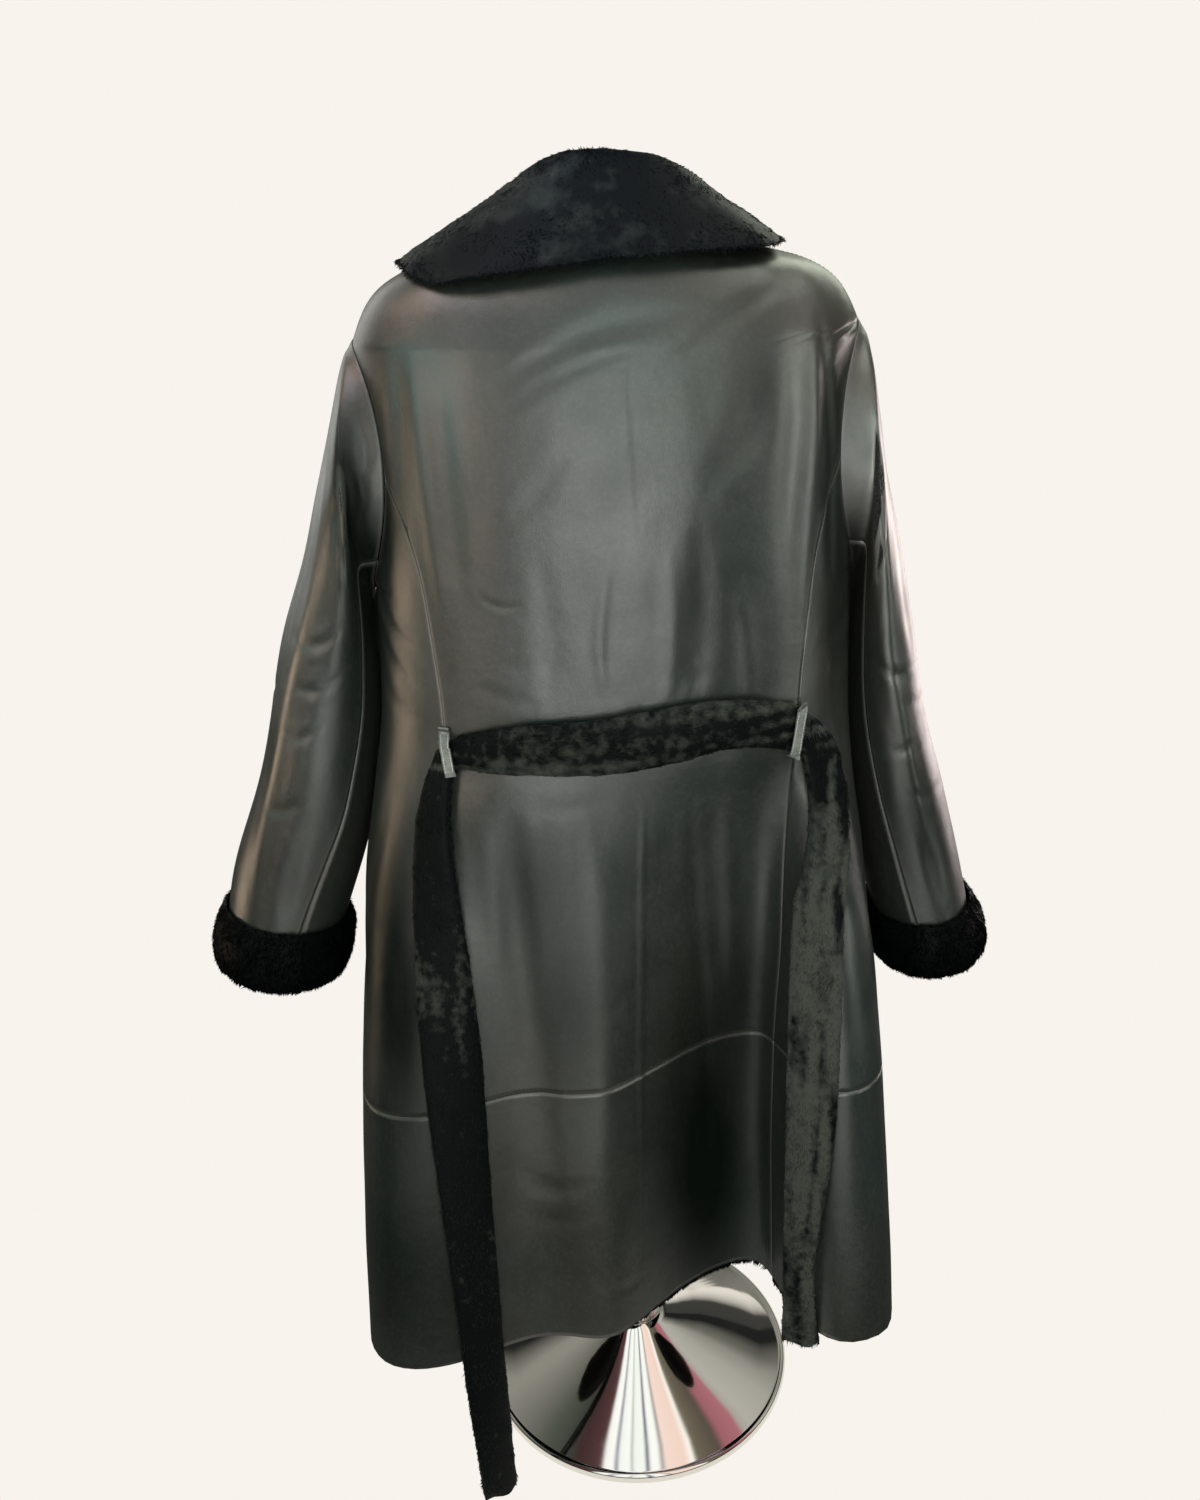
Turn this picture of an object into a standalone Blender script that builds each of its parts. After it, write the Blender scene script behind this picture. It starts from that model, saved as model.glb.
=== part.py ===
"""A leather coat with fur trim, filled out on a limbless dress form on a chromed trumpet base.

Metres, +Z up. The origin is the centre of the base's underside. The coat faces -Y, so its back is +Y,
and the wearer's left is +X. Every cloth piece is a wall of even thickness with its own seams.
"""

import math
from collections import namedtuple
from functools import lru_cache

import bmesh
import bpy
import numpy as np
from mathutils import Vector
from mathutils.bvhtree import BVHTree

# Heights on the coat
HEM_Z = 0.200
BAND_SEAM_Z = 0.505
UNDERARM_Z = 0.985
SHOULDER_Z = 1.200
NECK_Z = 1.274

# Cloth and seams
WALL = 0.006
SEAM_GAP = 0.0003
LAY_GAP = 0.0005

# Columns and rows of the walls
BAND_ROWS = 7
SKIRT_ROWS = 11
ARMHOLE_ROWS = 8
BACK_COLUMNS = 16
SIDE_COLUMNS = 6
FRONT_COLUMNS = 13
OUTLINE_SAMPLES = 400

# Armhole: an upright oval cut out of each side of the body
ARMHOLE_HALF_DEPTH = 0.066
ARMHOLE_MIDDLE_Z = (UNDERARM_Z + SHOULDER_Z) / 2
ARMHOLE_HALF_HEIGHT = (SHOULDER_Z - UNDERARM_Z) / 2
SIDE_PANEL_TOP_WIDTH = 0.0012

# Front lap: the right front lies over the left one at the centre
LAP_HALF_WIDTH = 0.022
LAP_RAMP = 0.060
LAP_DEPTH = WALL + 0.0015

Section = namedtuple("Section", "z half_width back front squareness shift")
SECTIONS = [
    Section(0.200, 0.2805, 0.185, 0.168, 11.0, 0.0100),
    Section(0.350, 0.2710, 0.178, 0.162, 9.5, 0.0100),
    Section(0.505, 0.2590, 0.168, 0.155, 8.0, 0.0100),
    Section(0.620, 0.2500, 0.157, 0.149, 5.4, 0.0085),
    Section(0.700, 0.2450, 0.148, 0.144, 3.6, 0.0080),
    Section(0.780, 0.2330, 0.140, 0.137, 3.0, 0.0060),
    Section(0.870, 0.2215, 0.132, 0.130, 2.6, 0.0015),
    Section(0.985, 0.2180, 0.131, 0.137, 2.4, 0.0000),
    Section(1.092, 0.2130, 0.127, 0.128, 2.4, 0.0000),
    Section(1.160, 0.2140, 0.120, 0.110, 2.3, 0.0000),
    Section(1.200, 0.2165, 0.113, 0.096, 2.2, 0.0000),
    Section(1.222, 0.2060, 0.107, 0.088, 2.1, 0.0000),
    Section(1.240, 0.1900, 0.101, 0.082, 2.0, 0.0000),
    Section(1.254, 0.1630, 0.094, 0.077, 2.0, 0.0000),
    Section(1.266, 0.1210, 0.084, 0.073, 2.0, 0.0000),
    Section(1.274, 0.0880, 0.076, 0.070, 2.0, 0.0000),
]
SHOULDER_ROWS_Z = [row.z for row in SECTIONS if row.z > SHOULDER_Z]

# Folds that hang from the waist: where across, how wide to the left and right, how deep at the hem
Fold = namedtuple("Fold", "side x left right depth top_z rise")
FOLDS = [
    Fold("back", -0.129, 0.225, 0.060, 0.121, 0.850, 3.0),
    Fold("back", 0.100, 0.120, 0.085, 0.034, 0.800, 3.0),
    Fold("front", 0.150, 0.075, 0.070, 0.040, 0.840, 1.5),
    Fold("front", -0.135, 0.070, 0.085, 0.050, 0.850, 1.6),
]

# Princess seams of the back: distance from the centre at each height
Seam = namedtuple("Seam", "z x")
PRINCESS = [
    Seam(0.200, 0.158),
    Seam(0.505, 0.156),
    Seam(0.700, 0.157),
    Seam(0.870, 0.157),
    Seam(0.950, 0.162),
    Seam(1.020, 0.170),
    Seam(1.060, 0.181),
    Seam(1.092, 0.195),
]

# Sleeves: the outer and the inner edge of each section seen from behind, its middle and half depth,
# and the place of the back seam, as a part of the way round from the outer edge
Sleeve = namedtuple("Sleeve", "out_x out_z in_x in_z mid_y half_depth seam")
SLEEVE_LEFT = [
    Sleeve(0.2250, 1.187, 0.2235, 0.9838, 0.000, 0.068, 0.375),
    Sleeve(0.2340, 1.162, 0.2245, 0.9760, -0.002, 0.073, 0.375),
    Sleeve(0.2455, 1.125, 0.2235, 0.9630, -0.006, 0.077, 0.375),
    Sleeve(0.2640, 1.068, 0.2222, 0.9440, -0.011, 0.079, 0.375),
    Sleeve(0.2805, 1.015, 0.2222, 0.9210, -0.015, 0.078, 0.375),
    Sleeve(0.3015, 0.964, 0.2230, 0.8920, -0.018, 0.076, 0.375),
    Sleeve(0.3175, 0.920, 0.2255, 0.8610, -0.020, 0.074, 0.374),
    Sleeve(0.3295, 0.874, 0.2310, 0.8260, -0.020, 0.072, 0.368),
    Sleeve(0.3410, 0.829, 0.2375, 0.7880, -0.019, 0.070, 0.356),
    Sleeve(0.3540, 0.789, 0.2450, 0.7520, -0.017, 0.067, 0.345),
    Sleeve(0.3695, 0.750, 0.2550, 0.7170, -0.013, 0.063, 0.330),
    Sleeve(0.3860, 0.708, 0.2680, 0.6800, -0.009, 0.060, 0.318),
    Sleeve(0.3985, 0.662, 0.2840, 0.6380, -0.004, 0.058, 0.305),
    Sleeve(0.4100, 0.604, 0.3010, 0.5820, 0.000, 0.056, 0.290),
]
SLEEVE_RIGHT = [
    Sleeve(0.2240, 1.187, 0.2225, 0.9838, 0.000, 0.068, 0.375),
    Sleeve(0.2290, 1.160, 0.2240, 0.9760, -0.002, 0.074, 0.375),
    Sleeve(0.2380, 1.120, 0.2230, 0.9630, -0.006, 0.078, 0.375),
    Sleeve(0.2500, 1.066, 0.2220, 0.9440, -0.011, 0.080, 0.375),
    Sleeve(0.2630, 1.020, 0.2215, 0.9200, -0.015, 0.080, 0.375),
    Sleeve(0.2765, 0.962, 0.2215, 0.8890, -0.018, 0.079, 0.375),
    Sleeve(0.2875, 0.915, 0.2225, 0.8580, -0.020, 0.078, 0.374),
    Sleeve(0.2965, 0.868, 0.2255, 0.8200, -0.020, 0.076, 0.368),
    Sleeve(0.3065, 0.822, 0.2300, 0.7800, -0.019, 0.074, 0.356),
    Sleeve(0.3180, 0.782, 0.2350, 0.7430, -0.017, 0.072, 0.345),
    Sleeve(0.3300, 0.738, 0.2415, 0.7050, -0.014, 0.068, 0.330),
    Sleeve(0.3430, 0.688, 0.2495, 0.6640, -0.010, 0.065, 0.318),
    Sleeve(0.3560, 0.632, 0.2610, 0.6160, -0.006, 0.063, 0.305),
    Sleeve(0.3690, 0.573, 0.2740, 0.5620, -0.002, 0.060, 0.290),
]
FRONT_SLEEVE_SEAM = 0.625
UNDER_SLEEVE_COLUMNS = 4

# Cuffs: distance from the sleeve's end towards the shoulder, and how far the fur stands off the leather
Profile = namedtuple("Profile", "up out")
CUFF_PROFILE = [
    Profile(0.050, 0.0013),
    Profile(0.053, 0.0050),
    Profile(0.047, 0.0095),
    Profile(0.032, 0.0140),
    Profile(0.012, 0.0155),
    Profile(-0.004, 0.0115),
    Profile(-0.008, 0.0050),
    Profile(-0.006, 0.0013),
    Profile(0.022, 0.0013),
]

# Collar: how its foot, roll and edge run round the neck
COLLAR_COLUMNS = 34
COLLAR_HALF_OPENING = math.radians(4.5)
COLLAR_EDGE_OPENING = math.radians(9)
COLLAR_SHIFT = 0.0105
COLLAR_TILT = 0.07
COLLAR_ROLL_SHIFT = -0.001
Round = namedtuple("Round", "side back front side_z back_z front_z squareness")
COLLAR_FOOT = Round(0.086, 0.074, 0.068, 1.2745, 1.2745, 1.2745, 2.0)
COLLAR_ROLL = Round(0.075, 0.052, 0.062, 1.311, 1.337, 1.290, 2.5)
COLLAR_EDGE = Round(0.159, 0.108, 0.132, 1.250, 1.260, 1.190, 2.5)
COLLAR_FOOT_HALF = 0.004
COLLAR_STAND = 0.010
COLLAR_WAIST = 0.55
COLLAR_FALL = ((0.22, 0.004), (0.60, 0.005))
COLLAR_EDGE_HALF = 0.004
COLLAR_EDGE_PROUD = 0.003
COLLAR_UNDER = (0.80, 0.60, 0.40, 0.20)
COLLAR_REST = 0.0066

# Belt: its middle line from the left end, round the back through both loops, to the right end
Belt = namedtuple("Belt", "x z width thick")
BELT = [
    Belt(0.1645, 0.006, 0.036, 0.012),
    Belt(0.1670, 0.100, 0.042, 0.013),
    Belt(0.1690, 0.200, 0.045, 0.013),
    Belt(0.1705, 0.300, 0.047, 0.013),
    Belt(0.1730, 0.450, 0.053, 0.014),
    Belt(0.1740, 0.580, 0.058, 0.014),
    Belt(0.1750, 0.690, 0.050, 0.014),
    Belt(0.1730, 0.780, 0.036, 0.014),
    Belt(0.1670, 0.822, 0.028, 0.012),
    Belt(0.1605, 0.846, 0.024, 0.010),
    Belt(0.1510, 0.858, 0.026, 0.009),
    Belt(0.1340, 0.862, 0.036, 0.012),
    Belt(0.1080, 0.865, 0.044, 0.014),
    Belt(0.0680, 0.867, 0.049, 0.014),
    Belt(0.0210, 0.868, 0.054, 0.014),
    Belt(-0.0140, 0.872, 0.056, 0.014),
    Belt(-0.0480, 0.877, 0.054, 0.014),
    Belt(-0.0820, 0.881, 0.049, 0.014),
    Belt(-0.1170, 0.878, 0.046, 0.014),
    Belt(-0.1410, 0.870, 0.045, 0.011),
    Belt(-0.1570, 0.860, 0.038, 0.009),
    Belt(-0.1710, 0.846, 0.036, 0.010),
    Belt(-0.1790, 0.822, 0.038, 0.012),
    Belt(-0.1835, 0.785, 0.041, 0.014),
    Belt(-0.1820, 0.735, 0.045, 0.014),
    Belt(-0.1770, 0.680, 0.048, 0.014),
    Belt(-0.1720, 0.580, 0.050, 0.014),
    Belt(-0.1680, 0.450, 0.047, 0.014),
    Belt(-0.1630, 0.340, 0.036, 0.013),
    Belt(-0.1620, 0.270, 0.033, 0.013),
    Belt(-0.1670, 0.184, 0.038, 0.013),
]
BELT_HANG_Z = 0.800

# The belt's section: parts of its half width and of its thickness
Corner = namedtuple("Corner", "across up")
BELT_SHAPE = [
    Corner(-0.96, 0.15),
    Corner(-0.70, 0.00),
    Corner(0.70, 0.00),
    Corner(0.96, 0.15),
    Corner(1.00, 0.55),
    Corner(0.60, 0.95),
    Corner(-0.60, 0.95),
    Corner(-1.00, 0.55),
]
BELT_STEPS = 2
BRIDGE_ROUNDS = 60
BELT_SHARES = (-0.5, -0.375, -0.25, -0.125, 0.0, 0.125, 0.25, 0.375, 0.5)
BELT_TILT = 0.35
BELT_GAP = 0.0040

# Belt loops: the middle of each one's ends
Loop = namedtuple("Loop", "word top_x top_z bottom_x bottom_z")
LOOPS = [
    Loop("left", 0.1580, 0.881, 0.1540, 0.842),
    Loop("right", -0.1565, 0.890, -0.1500, 0.841),
]
LOOP_WIDTH = 0.009
LOOP_THICK = 0.0018
LOOP_STEPS = 16
LOOP_SHARES = (-0.5, -0.25, 0.0, 0.25, 0.5)
LOOP_GAP = 0.0012
LOOP_SEAT = 0.0004

# Pocket welts on the fronts, near the side seams
WELT_TOP_Z = 0.800
WELT_BOTTOM_Z = 0.684
WELT_TOP_X = 0.196
WELT_BOTTOM_X = 0.236
WELT_WIDTH = 0.024
WELT_THICK = 0.0035
WELT_ROWS = 7
WELT_COLUMNS = 3

# Dress form: free sections up to the chest, then the coat's own shoulders, set in
Torso = namedtuple("Torso", "z half_width back front squareness")
TORSO = [
    Torso(0.705, 0.118, 0.050, 0.070, 2.2),
    Torso(0.720, 0.134, 0.060, 0.084, 2.2),
    Torso(0.760, 0.146, 0.072, 0.096, 2.2),
    Torso(0.810, 0.142, 0.082, 0.096, 2.2),
    Torso(0.880, 0.122, 0.084, 0.086, 2.1),
    Torso(0.960, 0.132, 0.092, 0.096, 2.1),
    Torso(1.040, 0.150, 0.098, 0.108, 2.1),
    Torso(1.100, 0.166, 0.098, 0.104, 2.1),
]
Inset = namedtuple("Inset", "z depth")
FORM_INSETS = [
    Inset(1.150, 0.018),
    Inset(1.185, 0.011),
    Inset(1.205, 0.0088),
    Inset(1.222, 0.0074),
    Inset(1.240, 0.0074),
    Inset(1.254, 0.0074),
    Inset(1.266, 0.0074),
]
FORM_COLUMNS = 28
FORM_LAP_MARGIN = 0.016
FORM_NECK = [
    (0.0530, 1.2705),
    (0.0505, 1.2805),
    (0.0500, 1.2970),
]
FORM_CAP = [
    (0.0500, 1.2973),
    (0.0500, 1.3050),
    (0.0450, 1.3090),
]

# Stand
BASE_PROFILE = [
    (0.0000, 0.0000),
    (0.1780, 0.0000),
    (0.1800, 0.0020),
    (0.1800, 0.0070),
    (0.1780, 0.0095),
    (0.1755, 0.0101),
    (0.1728, 0.0092),
    (0.1500, 0.0186),
    (0.1250, 0.0290),
    (0.1000, 0.0394),
    (0.0780, 0.0485),
    (0.0600, 0.0565),
    (0.0460, 0.0640),
    (0.0370, 0.0700),
    (0.0320, 0.0740),
    (0.0000, 0.0740),
]
NUT_PROFILE = [
    (0.0128, 0.0743),
    (0.0300, 0.0743),
    (0.0320, 0.0780),
    (0.0320, 0.0900),
    (0.0280, 0.0940),
    (0.0180, 0.0980),
    (0.0128, 0.0980),
]
POLE_RADIUS = 0.0125
BASE_STEPS = 40
POLE_STEPS = 16

Finish = namedtuple("Finish", "colour roughness metallic")
LEATHER = Finish((0.030, 0.032, 0.030), 0.42, 0.0)
FUR = Finish((0.010, 0.011, 0.011), 0.90, 0.0)
FORM_CLOTH = Finish((0.045, 0.044, 0.042), 0.85, 0.0)
CHROME = Finish((0.800, 0.800, 0.800), 0.08, 1.0)


def clear_scene():
    """Empty the file of the objects that it opened with."""
    for item in list(bpy.data.objects):
        bpy.data.objects.remove(item, do_unlink=True)


@lru_cache(maxsize=None)
def material(name, finish):
    """A plain Principled material."""
    made = bpy.data.materials.new(name)
    made.use_nodes = True
    shader = made.node_tree.nodes["Principled BSDF"]
    shader.inputs["Base Color"].default_value = (*finish.colour, 1.0)
    shader.inputs["Roughness"].default_value = finish.roughness
    shader.inputs["Metallic"].default_value = finish.metallic
    return made


def leather():
    """The coat's smooth leather."""
    return material("black leather", LEATHER)


def fur():
    """The collar's, cuffs' and belt's fur."""
    return material("black fur", FUR)


def add_object(name, mesh_maker, finish):
    """One named object from a bmesh, with its faces turned outward."""
    bmesh.ops.recalc_face_normals(mesh_maker, faces=mesh_maker.faces)
    mesh = bpy.data.meshes.new(name)
    mesh_maker.to_mesh(mesh)
    mesh_maker.free()
    mesh.materials.append(finish)
    mesh.shade_smooth()
    mesh.set_sharp_from_angle(angle=math.radians(40))
    item = bpy.data.objects.new(name, mesh)
    bpy.context.scene.collection.objects.link(item)
    return item


def monotone(rows, column):
    """A smooth curve through one column of a table, with no overshoot between its rows."""
    heights = np.array([row.z for row in rows])
    values = np.array([getattr(row, column) for row in rows])
    steps = np.diff(heights)
    slopes = np.diff(values) / steps
    bends = np.zeros(len(values))
    bends[0] = slopes[0]
    bends[-1] = slopes[-1]
    for i in range(1, len(values) - 1):
        if slopes[i - 1] * slopes[i] > 0:
            bends[i] = 2 * slopes[i - 1] * slopes[i] / (slopes[i - 1] + slopes[i])

    def at(z):
        z = min(max(z, heights[0]), heights[-1])
        i = min(int(np.searchsorted(heights, z, side="right")) - 1, len(steps) - 1)
        t = (z - heights[i]) / steps[i]
        near = (1 + 2 * t) * (1 - t) ** 2 * values[i] + t * (1 - t) ** 2 * steps[i] * bends[i]
        far = t * t * (3 - 2 * t) * values[i + 1] - t * t * (1 - t) * steps[i] * bends[i + 1]
        return float(near + far)

    return at


half_width_at = monotone(SECTIONS, "half_width")
back_at = monotone(SECTIONS, "back")
front_at = monotone(SECTIONS, "front")
squareness_at = monotone(SECTIONS, "squareness")
shift_at = monotone(SECTIONS, "shift")
princess_at = monotone(PRINCESS, "x")


def superellipse(turn, half_width, depth, squareness):
    """Points of a rounded section in the directions turn, an array of angles."""
    across = np.abs(np.cos(turn)) / half_width
    along = np.abs(np.sin(turn)) / depth
    reach = (across**squareness + along**squareness) ** (-1 / squareness)
    return reach * np.cos(turn), reach * np.abs(np.sin(turn))


def fold_depth(side, x, z):
    """How far the folds of one side push the cloth in at x, an array, and height z."""
    total = np.zeros_like(x)
    for fold in FOLDS:
        if fold.side != side or z >= fold.top_z:
            continue
        growth = 1 - ((z - HEM_Z) / (fold.top_z - HEM_Z)) ** fold.rise
        away = x - fold.x
        reach = np.where(away > 0, fold.left, fold.right)
        bell = 0.5 * (1 + np.cos(np.pi * np.clip(away / reach, -1, 1)))
        total += fold.depth * growth * bell
    return total


@lru_cache(maxsize=None)
def outline(side, z):
    """Half of the coat's outline at height z, from the left side round to the right one."""
    turn = np.linspace(0, np.pi, OUTLINE_SAMPLES)
    depth = back_at(z) if side == "back" else front_at(z)
    x, y = superellipse(turn, half_width_at(z), depth, squareness_at(z))
    x = x + shift_at(z)
    y = y - fold_depth(side, x, z)
    y[0] = 0.0
    y[-1] = 0.0
    lengths = np.concatenate([[0.0], np.cumsum(np.hypot(np.diff(x), np.diff(y)))])
    return x, (y if side == "back" else -y), lengths


def half_length(side, z):
    """The length of cloth round one half of the coat at height z."""
    return float(outline(side, z)[2][-1])


def on_body(side, z, part):
    """The point of the coat's outer surface a part of the way along a half outline."""
    x, y, lengths = outline(side, z)
    reach = part * lengths[-1]
    return Vector((float(np.interp(reach, lengths, x)), float(np.interp(reach, lengths, y)), z))


def body_normal(side, z, part):
    """The outward direction of the coat's outer surface."""
    across = on_body(side, z, min(part + 0.004, 1)) - on_body(side, z, max(part - 0.004, 0))
    up = on_body(side, min(z + 0.004, NECK_Z), part) - on_body(side, max(z - 0.004, HEM_Z), part)
    normal = across.cross(up).normalized()
    return normal if side == "back" else -normal


def part_at_x(side, z, x):
    """How far along a half outline it crosses the distance x from the centre."""
    xs, _, lengths = outline(side, z)
    return float(np.interp(-x, -xs, lengths) / lengths[-1])


def part_at_armhole(side, z, hand):
    """How far along a half outline it meets the armhole's edge on the left (+1) or right (-1)."""
    drop = (z - ARMHOLE_MIDDLE_Z) / ARMHOLE_HALF_HEIGHT
    depth = ARMHOLE_HALF_DEPTH * math.sqrt(max(0.0, 1 - drop * drop))
    _, y, lengths = outline(side, z)
    quarter = OUTLINE_SAMPLES // 4
    if hand > 0:
        return float(np.interp(depth, np.abs(y[:quarter]), lengths[:quarter]) / lengths[-1])
    return float(np.interp(depth, np.abs(y[::-1][:quarter]), lengths[::-1][:quarter]) / lengths[-1])


def armhole_rows():
    """Heights of the body's rows beside an armhole, even steps round its oval."""
    steps = range(1, ARMHOLE_ROWS + 1)
    return [ARMHOLE_MIDDLE_Z - ARMHOLE_HALF_HEIGHT * math.cos(math.pi * k / ARMHOLE_ROWS) for k in steps]


def spaced(low, high, rows):
    """Even heights from low to high."""
    return [low + (high - low) * i / rows for i in range(rows + 1)]


def band_heights():
    """Rows of the band below the horizontal seam."""
    return spaced(HEM_Z, BAND_SEAM_Z - SEAM_GAP / 2, BAND_ROWS)


def skirt_heights():
    """Rows from the horizontal seam to the underarm."""
    return spaced(BAND_SEAM_Z + SEAM_GAP / 2, UNDERARM_Z, SKIRT_ROWS)


def side_edge(side, z, hand):
    """The side seam, the armhole's edge or the shoulder seam, whichever is at height z."""
    nudge = SEAM_GAP / 2 / half_length(side, z)
    if UNDERARM_Z + 1e-6 < z < SHOULDER_Z - 1e-6:
        return part_at_armhole(side, z, hand)
    return nudge if hand > 0 else 1 - nudge


def princess_edge(z, hand, outward):
    """The princess seam, half a gap to the side of it that outward says."""
    nudge = SEAM_GAP / 2 / half_length("back", z)
    part = part_at_x("back", z, hand * princess_at(z) + shift_at(z))
    return part - nudge * hand * outward


def lap_depth(x, z):
    """How far the left front sinks to pass under the right one."""
    start = LAP_HALF_WIDTH + LAP_RAMP
    t = min(max((start - x) / LAP_RAMP, 0.0), 1.0)
    return LAP_DEPTH * t * t * (3 - 2 * t)


def panel_grid(side, heights, first, last, columns, lapped=False):
    """Outer and inner points of a panel; its edges first(z) and last(z) are parts of a half outline."""
    outer = []
    inner = []
    for z in heights:
        outer_row = []
        inner_row = []
        for j in range(columns + 1):
            part = first(z) + (last(z) - first(z)) * j / columns
            normal = body_normal(side, z, part)
            point = on_body(side, z, part)
            if lapped:
                point = point - normal * lap_depth(point.x, z)
            outer_row.append(point)
            inner_row.append(point - normal * WALL)
        outer.append(outer_row)
        inner.append(inner_row)
    return outer, inner


def wall(name, outer, inner, finish):
    """A closed solid between two grids, its edge faces split the same way on both sides of a seam."""
    maker = bmesh.new()
    rows = len(outer)
    columns = len(outer[0])
    grids = [[[maker.verts.new(p) for p in row] for row in grid] for grid in (outer, inner)]
    for grid in grids:
        for i in range(rows - 1):
            for j in range(columns - 1):
                maker.faces.new((grid[i][j], grid[i][j + 1], grid[i + 1][j + 1], grid[i + 1][j]))
    front, rear = grids
    rim = [(0, j) for j in range(columns)]
    rim += [(i, columns - 1) for i in range(1, rows)]
    rim += [(rows - 1, j) for j in range(columns - 2, -1, -1)]
    rim += [(i, 0) for i in range(rows - 2, 0, -1)]
    for here, there in zip(rim, rim[1:] + rim[:1]):
        (i, j), (k, m) = sorted((here, there))
        maker.faces.new((front[i][j], front[k][m], rear[k][m]))
        maker.faces.new((front[i][j], rear[k][m], rear[i][j]))
    return add_object(name, maker, finish)


def tube(name, rings, finish, closed_loop=False):
    """A closed solid swept through rings of points, with flat ends unless the sweep closes on itself."""
    maker = bmesh.new()
    verts = [[maker.verts.new(p) for p in ring] for ring in rings]
    count = len(rings[0])
    pairs = list(zip(verts, verts[1:]))
    if closed_loop:
        pairs.append((verts[-1], verts[0]))
    for near, far in pairs:
        for j in range(count):
            k = (j + 1) % count
            maker.faces.new((near[j], near[k], far[k], far[j]))
    if not closed_loop:
        maker.faces.new(verts[0][::-1])
        maker.faces.new(verts[-1])
    return add_object(name, maker, finish)


def build_back():
    """The centre back, the two side-back panels and the back of the hem band."""
    skirt = skirt_heights()
    arm = armhole_rows()
    side_top = len(arm) // 2
    side_arm = arm[:side_top]
    tip_z = side_arm[-1]
    tip_share = SIDE_PANEL_TOP_WIDTH / half_length("back", tip_z)

    def seam(z, hand, outward):
        if z > tip_z - 1e-6:
            nudge = SEAM_GAP / 2 / half_length("back", z)
            return part_at_armhole("back", z, hand) + hand * (tip_share - nudge * outward)
        return princess_edge(z, hand, outward)

    def back_edge(z, hand):
        if z > tip_z + 1e-6:
            return side_edge("back", z, hand)
        return seam(z, hand, -1)

    heights = skirt + arm + SHOULDER_ROWS_Z
    panels = [
        wall(
            "coat_back",
            *panel_grid(
                "back",
                heights,
                lambda z: back_edge(z, 1),
                lambda z: back_edge(z, -1),
                BACK_COLUMNS,
            ),
            leather(),
        )
    ]
    for hand, word in ((1, "left"), (-1, "right")):
        grid = panel_grid(
            "back",
            skirt + side_arm,
            lambda z: side_edge("back", z, hand),
            lambda z: seam(z, hand, 1),
            SIDE_COLUMNS,
        )
        panels.append(wall(f"coat_side_back_{word}", *grid, leather()))
        grid = panel_grid(
            "back",
            band_heights(),
            lambda z: side_edge("back", z, hand),
            lambda z: princess_edge(z, hand, 1),
            SIDE_COLUMNS,
        )
        panels.append(wall(f"hem_side_{word}", *grid, leather()))
    grid = panel_grid(
        "back",
        band_heights(),
        lambda z: princess_edge(z, 1, -1),
        lambda z: princess_edge(z, -1, -1),
        BACK_COLUMNS,
    )
    panels.append(wall("hem_back", *grid, leather()))
    return panels


def build_fronts():
    """Both fronts and their hem bands; the right ones lap over the left ones."""
    skirt = skirt_heights()
    heights = skirt + armhole_rows() + SHOULDER_ROWS_Z
    panels = []
    for rows, word in ((heights, "coat_front"), (band_heights(), "hem_front")):
        left = panel_grid(
            "front",
            rows,
            lambda z: side_edge("front", z, 1),
            lambda z: part_at_x("front", z, -LAP_HALF_WIDTH),
            FRONT_COLUMNS,
            lapped=True,
        )
        panels.append(wall(f"{word}_left", *left, leather()))
        right = panel_grid(
            "front",
            rows,
            lambda z: part_at_x("front", z, LAP_HALF_WIDTH),
            lambda z: side_edge("front", z, -1),
            FRONT_COLUMNS,
        )
        panels.append(wall(f"{word}_right", *right, leather()))
    return panels


def armhole_point(turn, hand):
    """A point of the armhole's edge, turn being a part of the way round from the shoulder by the back."""
    angle = 2 * math.pi * turn
    z = ARMHOLE_MIDDLE_Z + ARMHOLE_HALF_HEIGHT * math.cos(angle)
    side = "back" if math.sin(angle) >= 0 else "front"
    z = min(max(z, UNDERARM_Z), SHOULDER_Z)
    return on_body(side, z, part_at_armhole(side, z, hand))


def sleeve_row(table, hand, row, turn):
    """A point of the sleeve's outer surface at a row, which may lie between two rows of its table."""
    if row <= 0:
        point = armhole_point(turn, hand)
        return point + Vector((hand * SEAM_GAP, 0, 0))
    if row < 1:
        near = sleeve_row(table, hand, 0, turn)
        far = sleeve_row(table, hand, 1, turn)
        return near.lerp(far, row)
    index = min(int(row), len(table) - 1)
    low, high = table[index - 1 : index + 1]
    share = row - index
    mix = [a + (b - a) * share for a, b in zip(low, high)]
    out_x, out_z, in_x, in_z, mid_y, half_depth, _ = mix
    angle = 2 * math.pi * turn
    middle = Vector(((out_x + in_x) / 2, mid_y, (out_z + in_z) / 2))
    outward = Vector(((out_x - in_x) / 2, 0, (out_z - in_z) / 2))
    point = middle + outward * math.cos(angle) + Vector((0, half_depth, 0)) * math.sin(angle)
    return Vector((hand * point.x, point.y, point.z))


def sleeve_normal(table, hand, row, turn):
    """The outward direction of the sleeve's surface."""
    round_step = sleeve_row(table, hand, row, turn + 0.01) - sleeve_row(table, hand, row, turn - 0.01)
    last = len(table)
    ahead = sleeve_row(table, hand, min(row + 0.3, last), turn)
    behind = sleeve_row(table, hand, max(row - 0.3, 0), turn)
    return hand * (ahead - behind).cross(round_step).normalized()


def sleeve_grid(table, hand, rows, turns):
    """Outer and inner points of a sleeve piece; turns gives each row's places round it."""
    outer = []
    inner = []
    for row in rows:
        outer_row = []
        inner_row = []
        for turn in turns(row):
            point = sleeve_row(table, hand, row, turn)
            outer_row.append(point)
            inner_row.append(point - sleeve_normal(table, hand, row, turn) * WALL)
        outer.append(outer_row)
        inner.append(inner_row)
    return outer, inner


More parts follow.
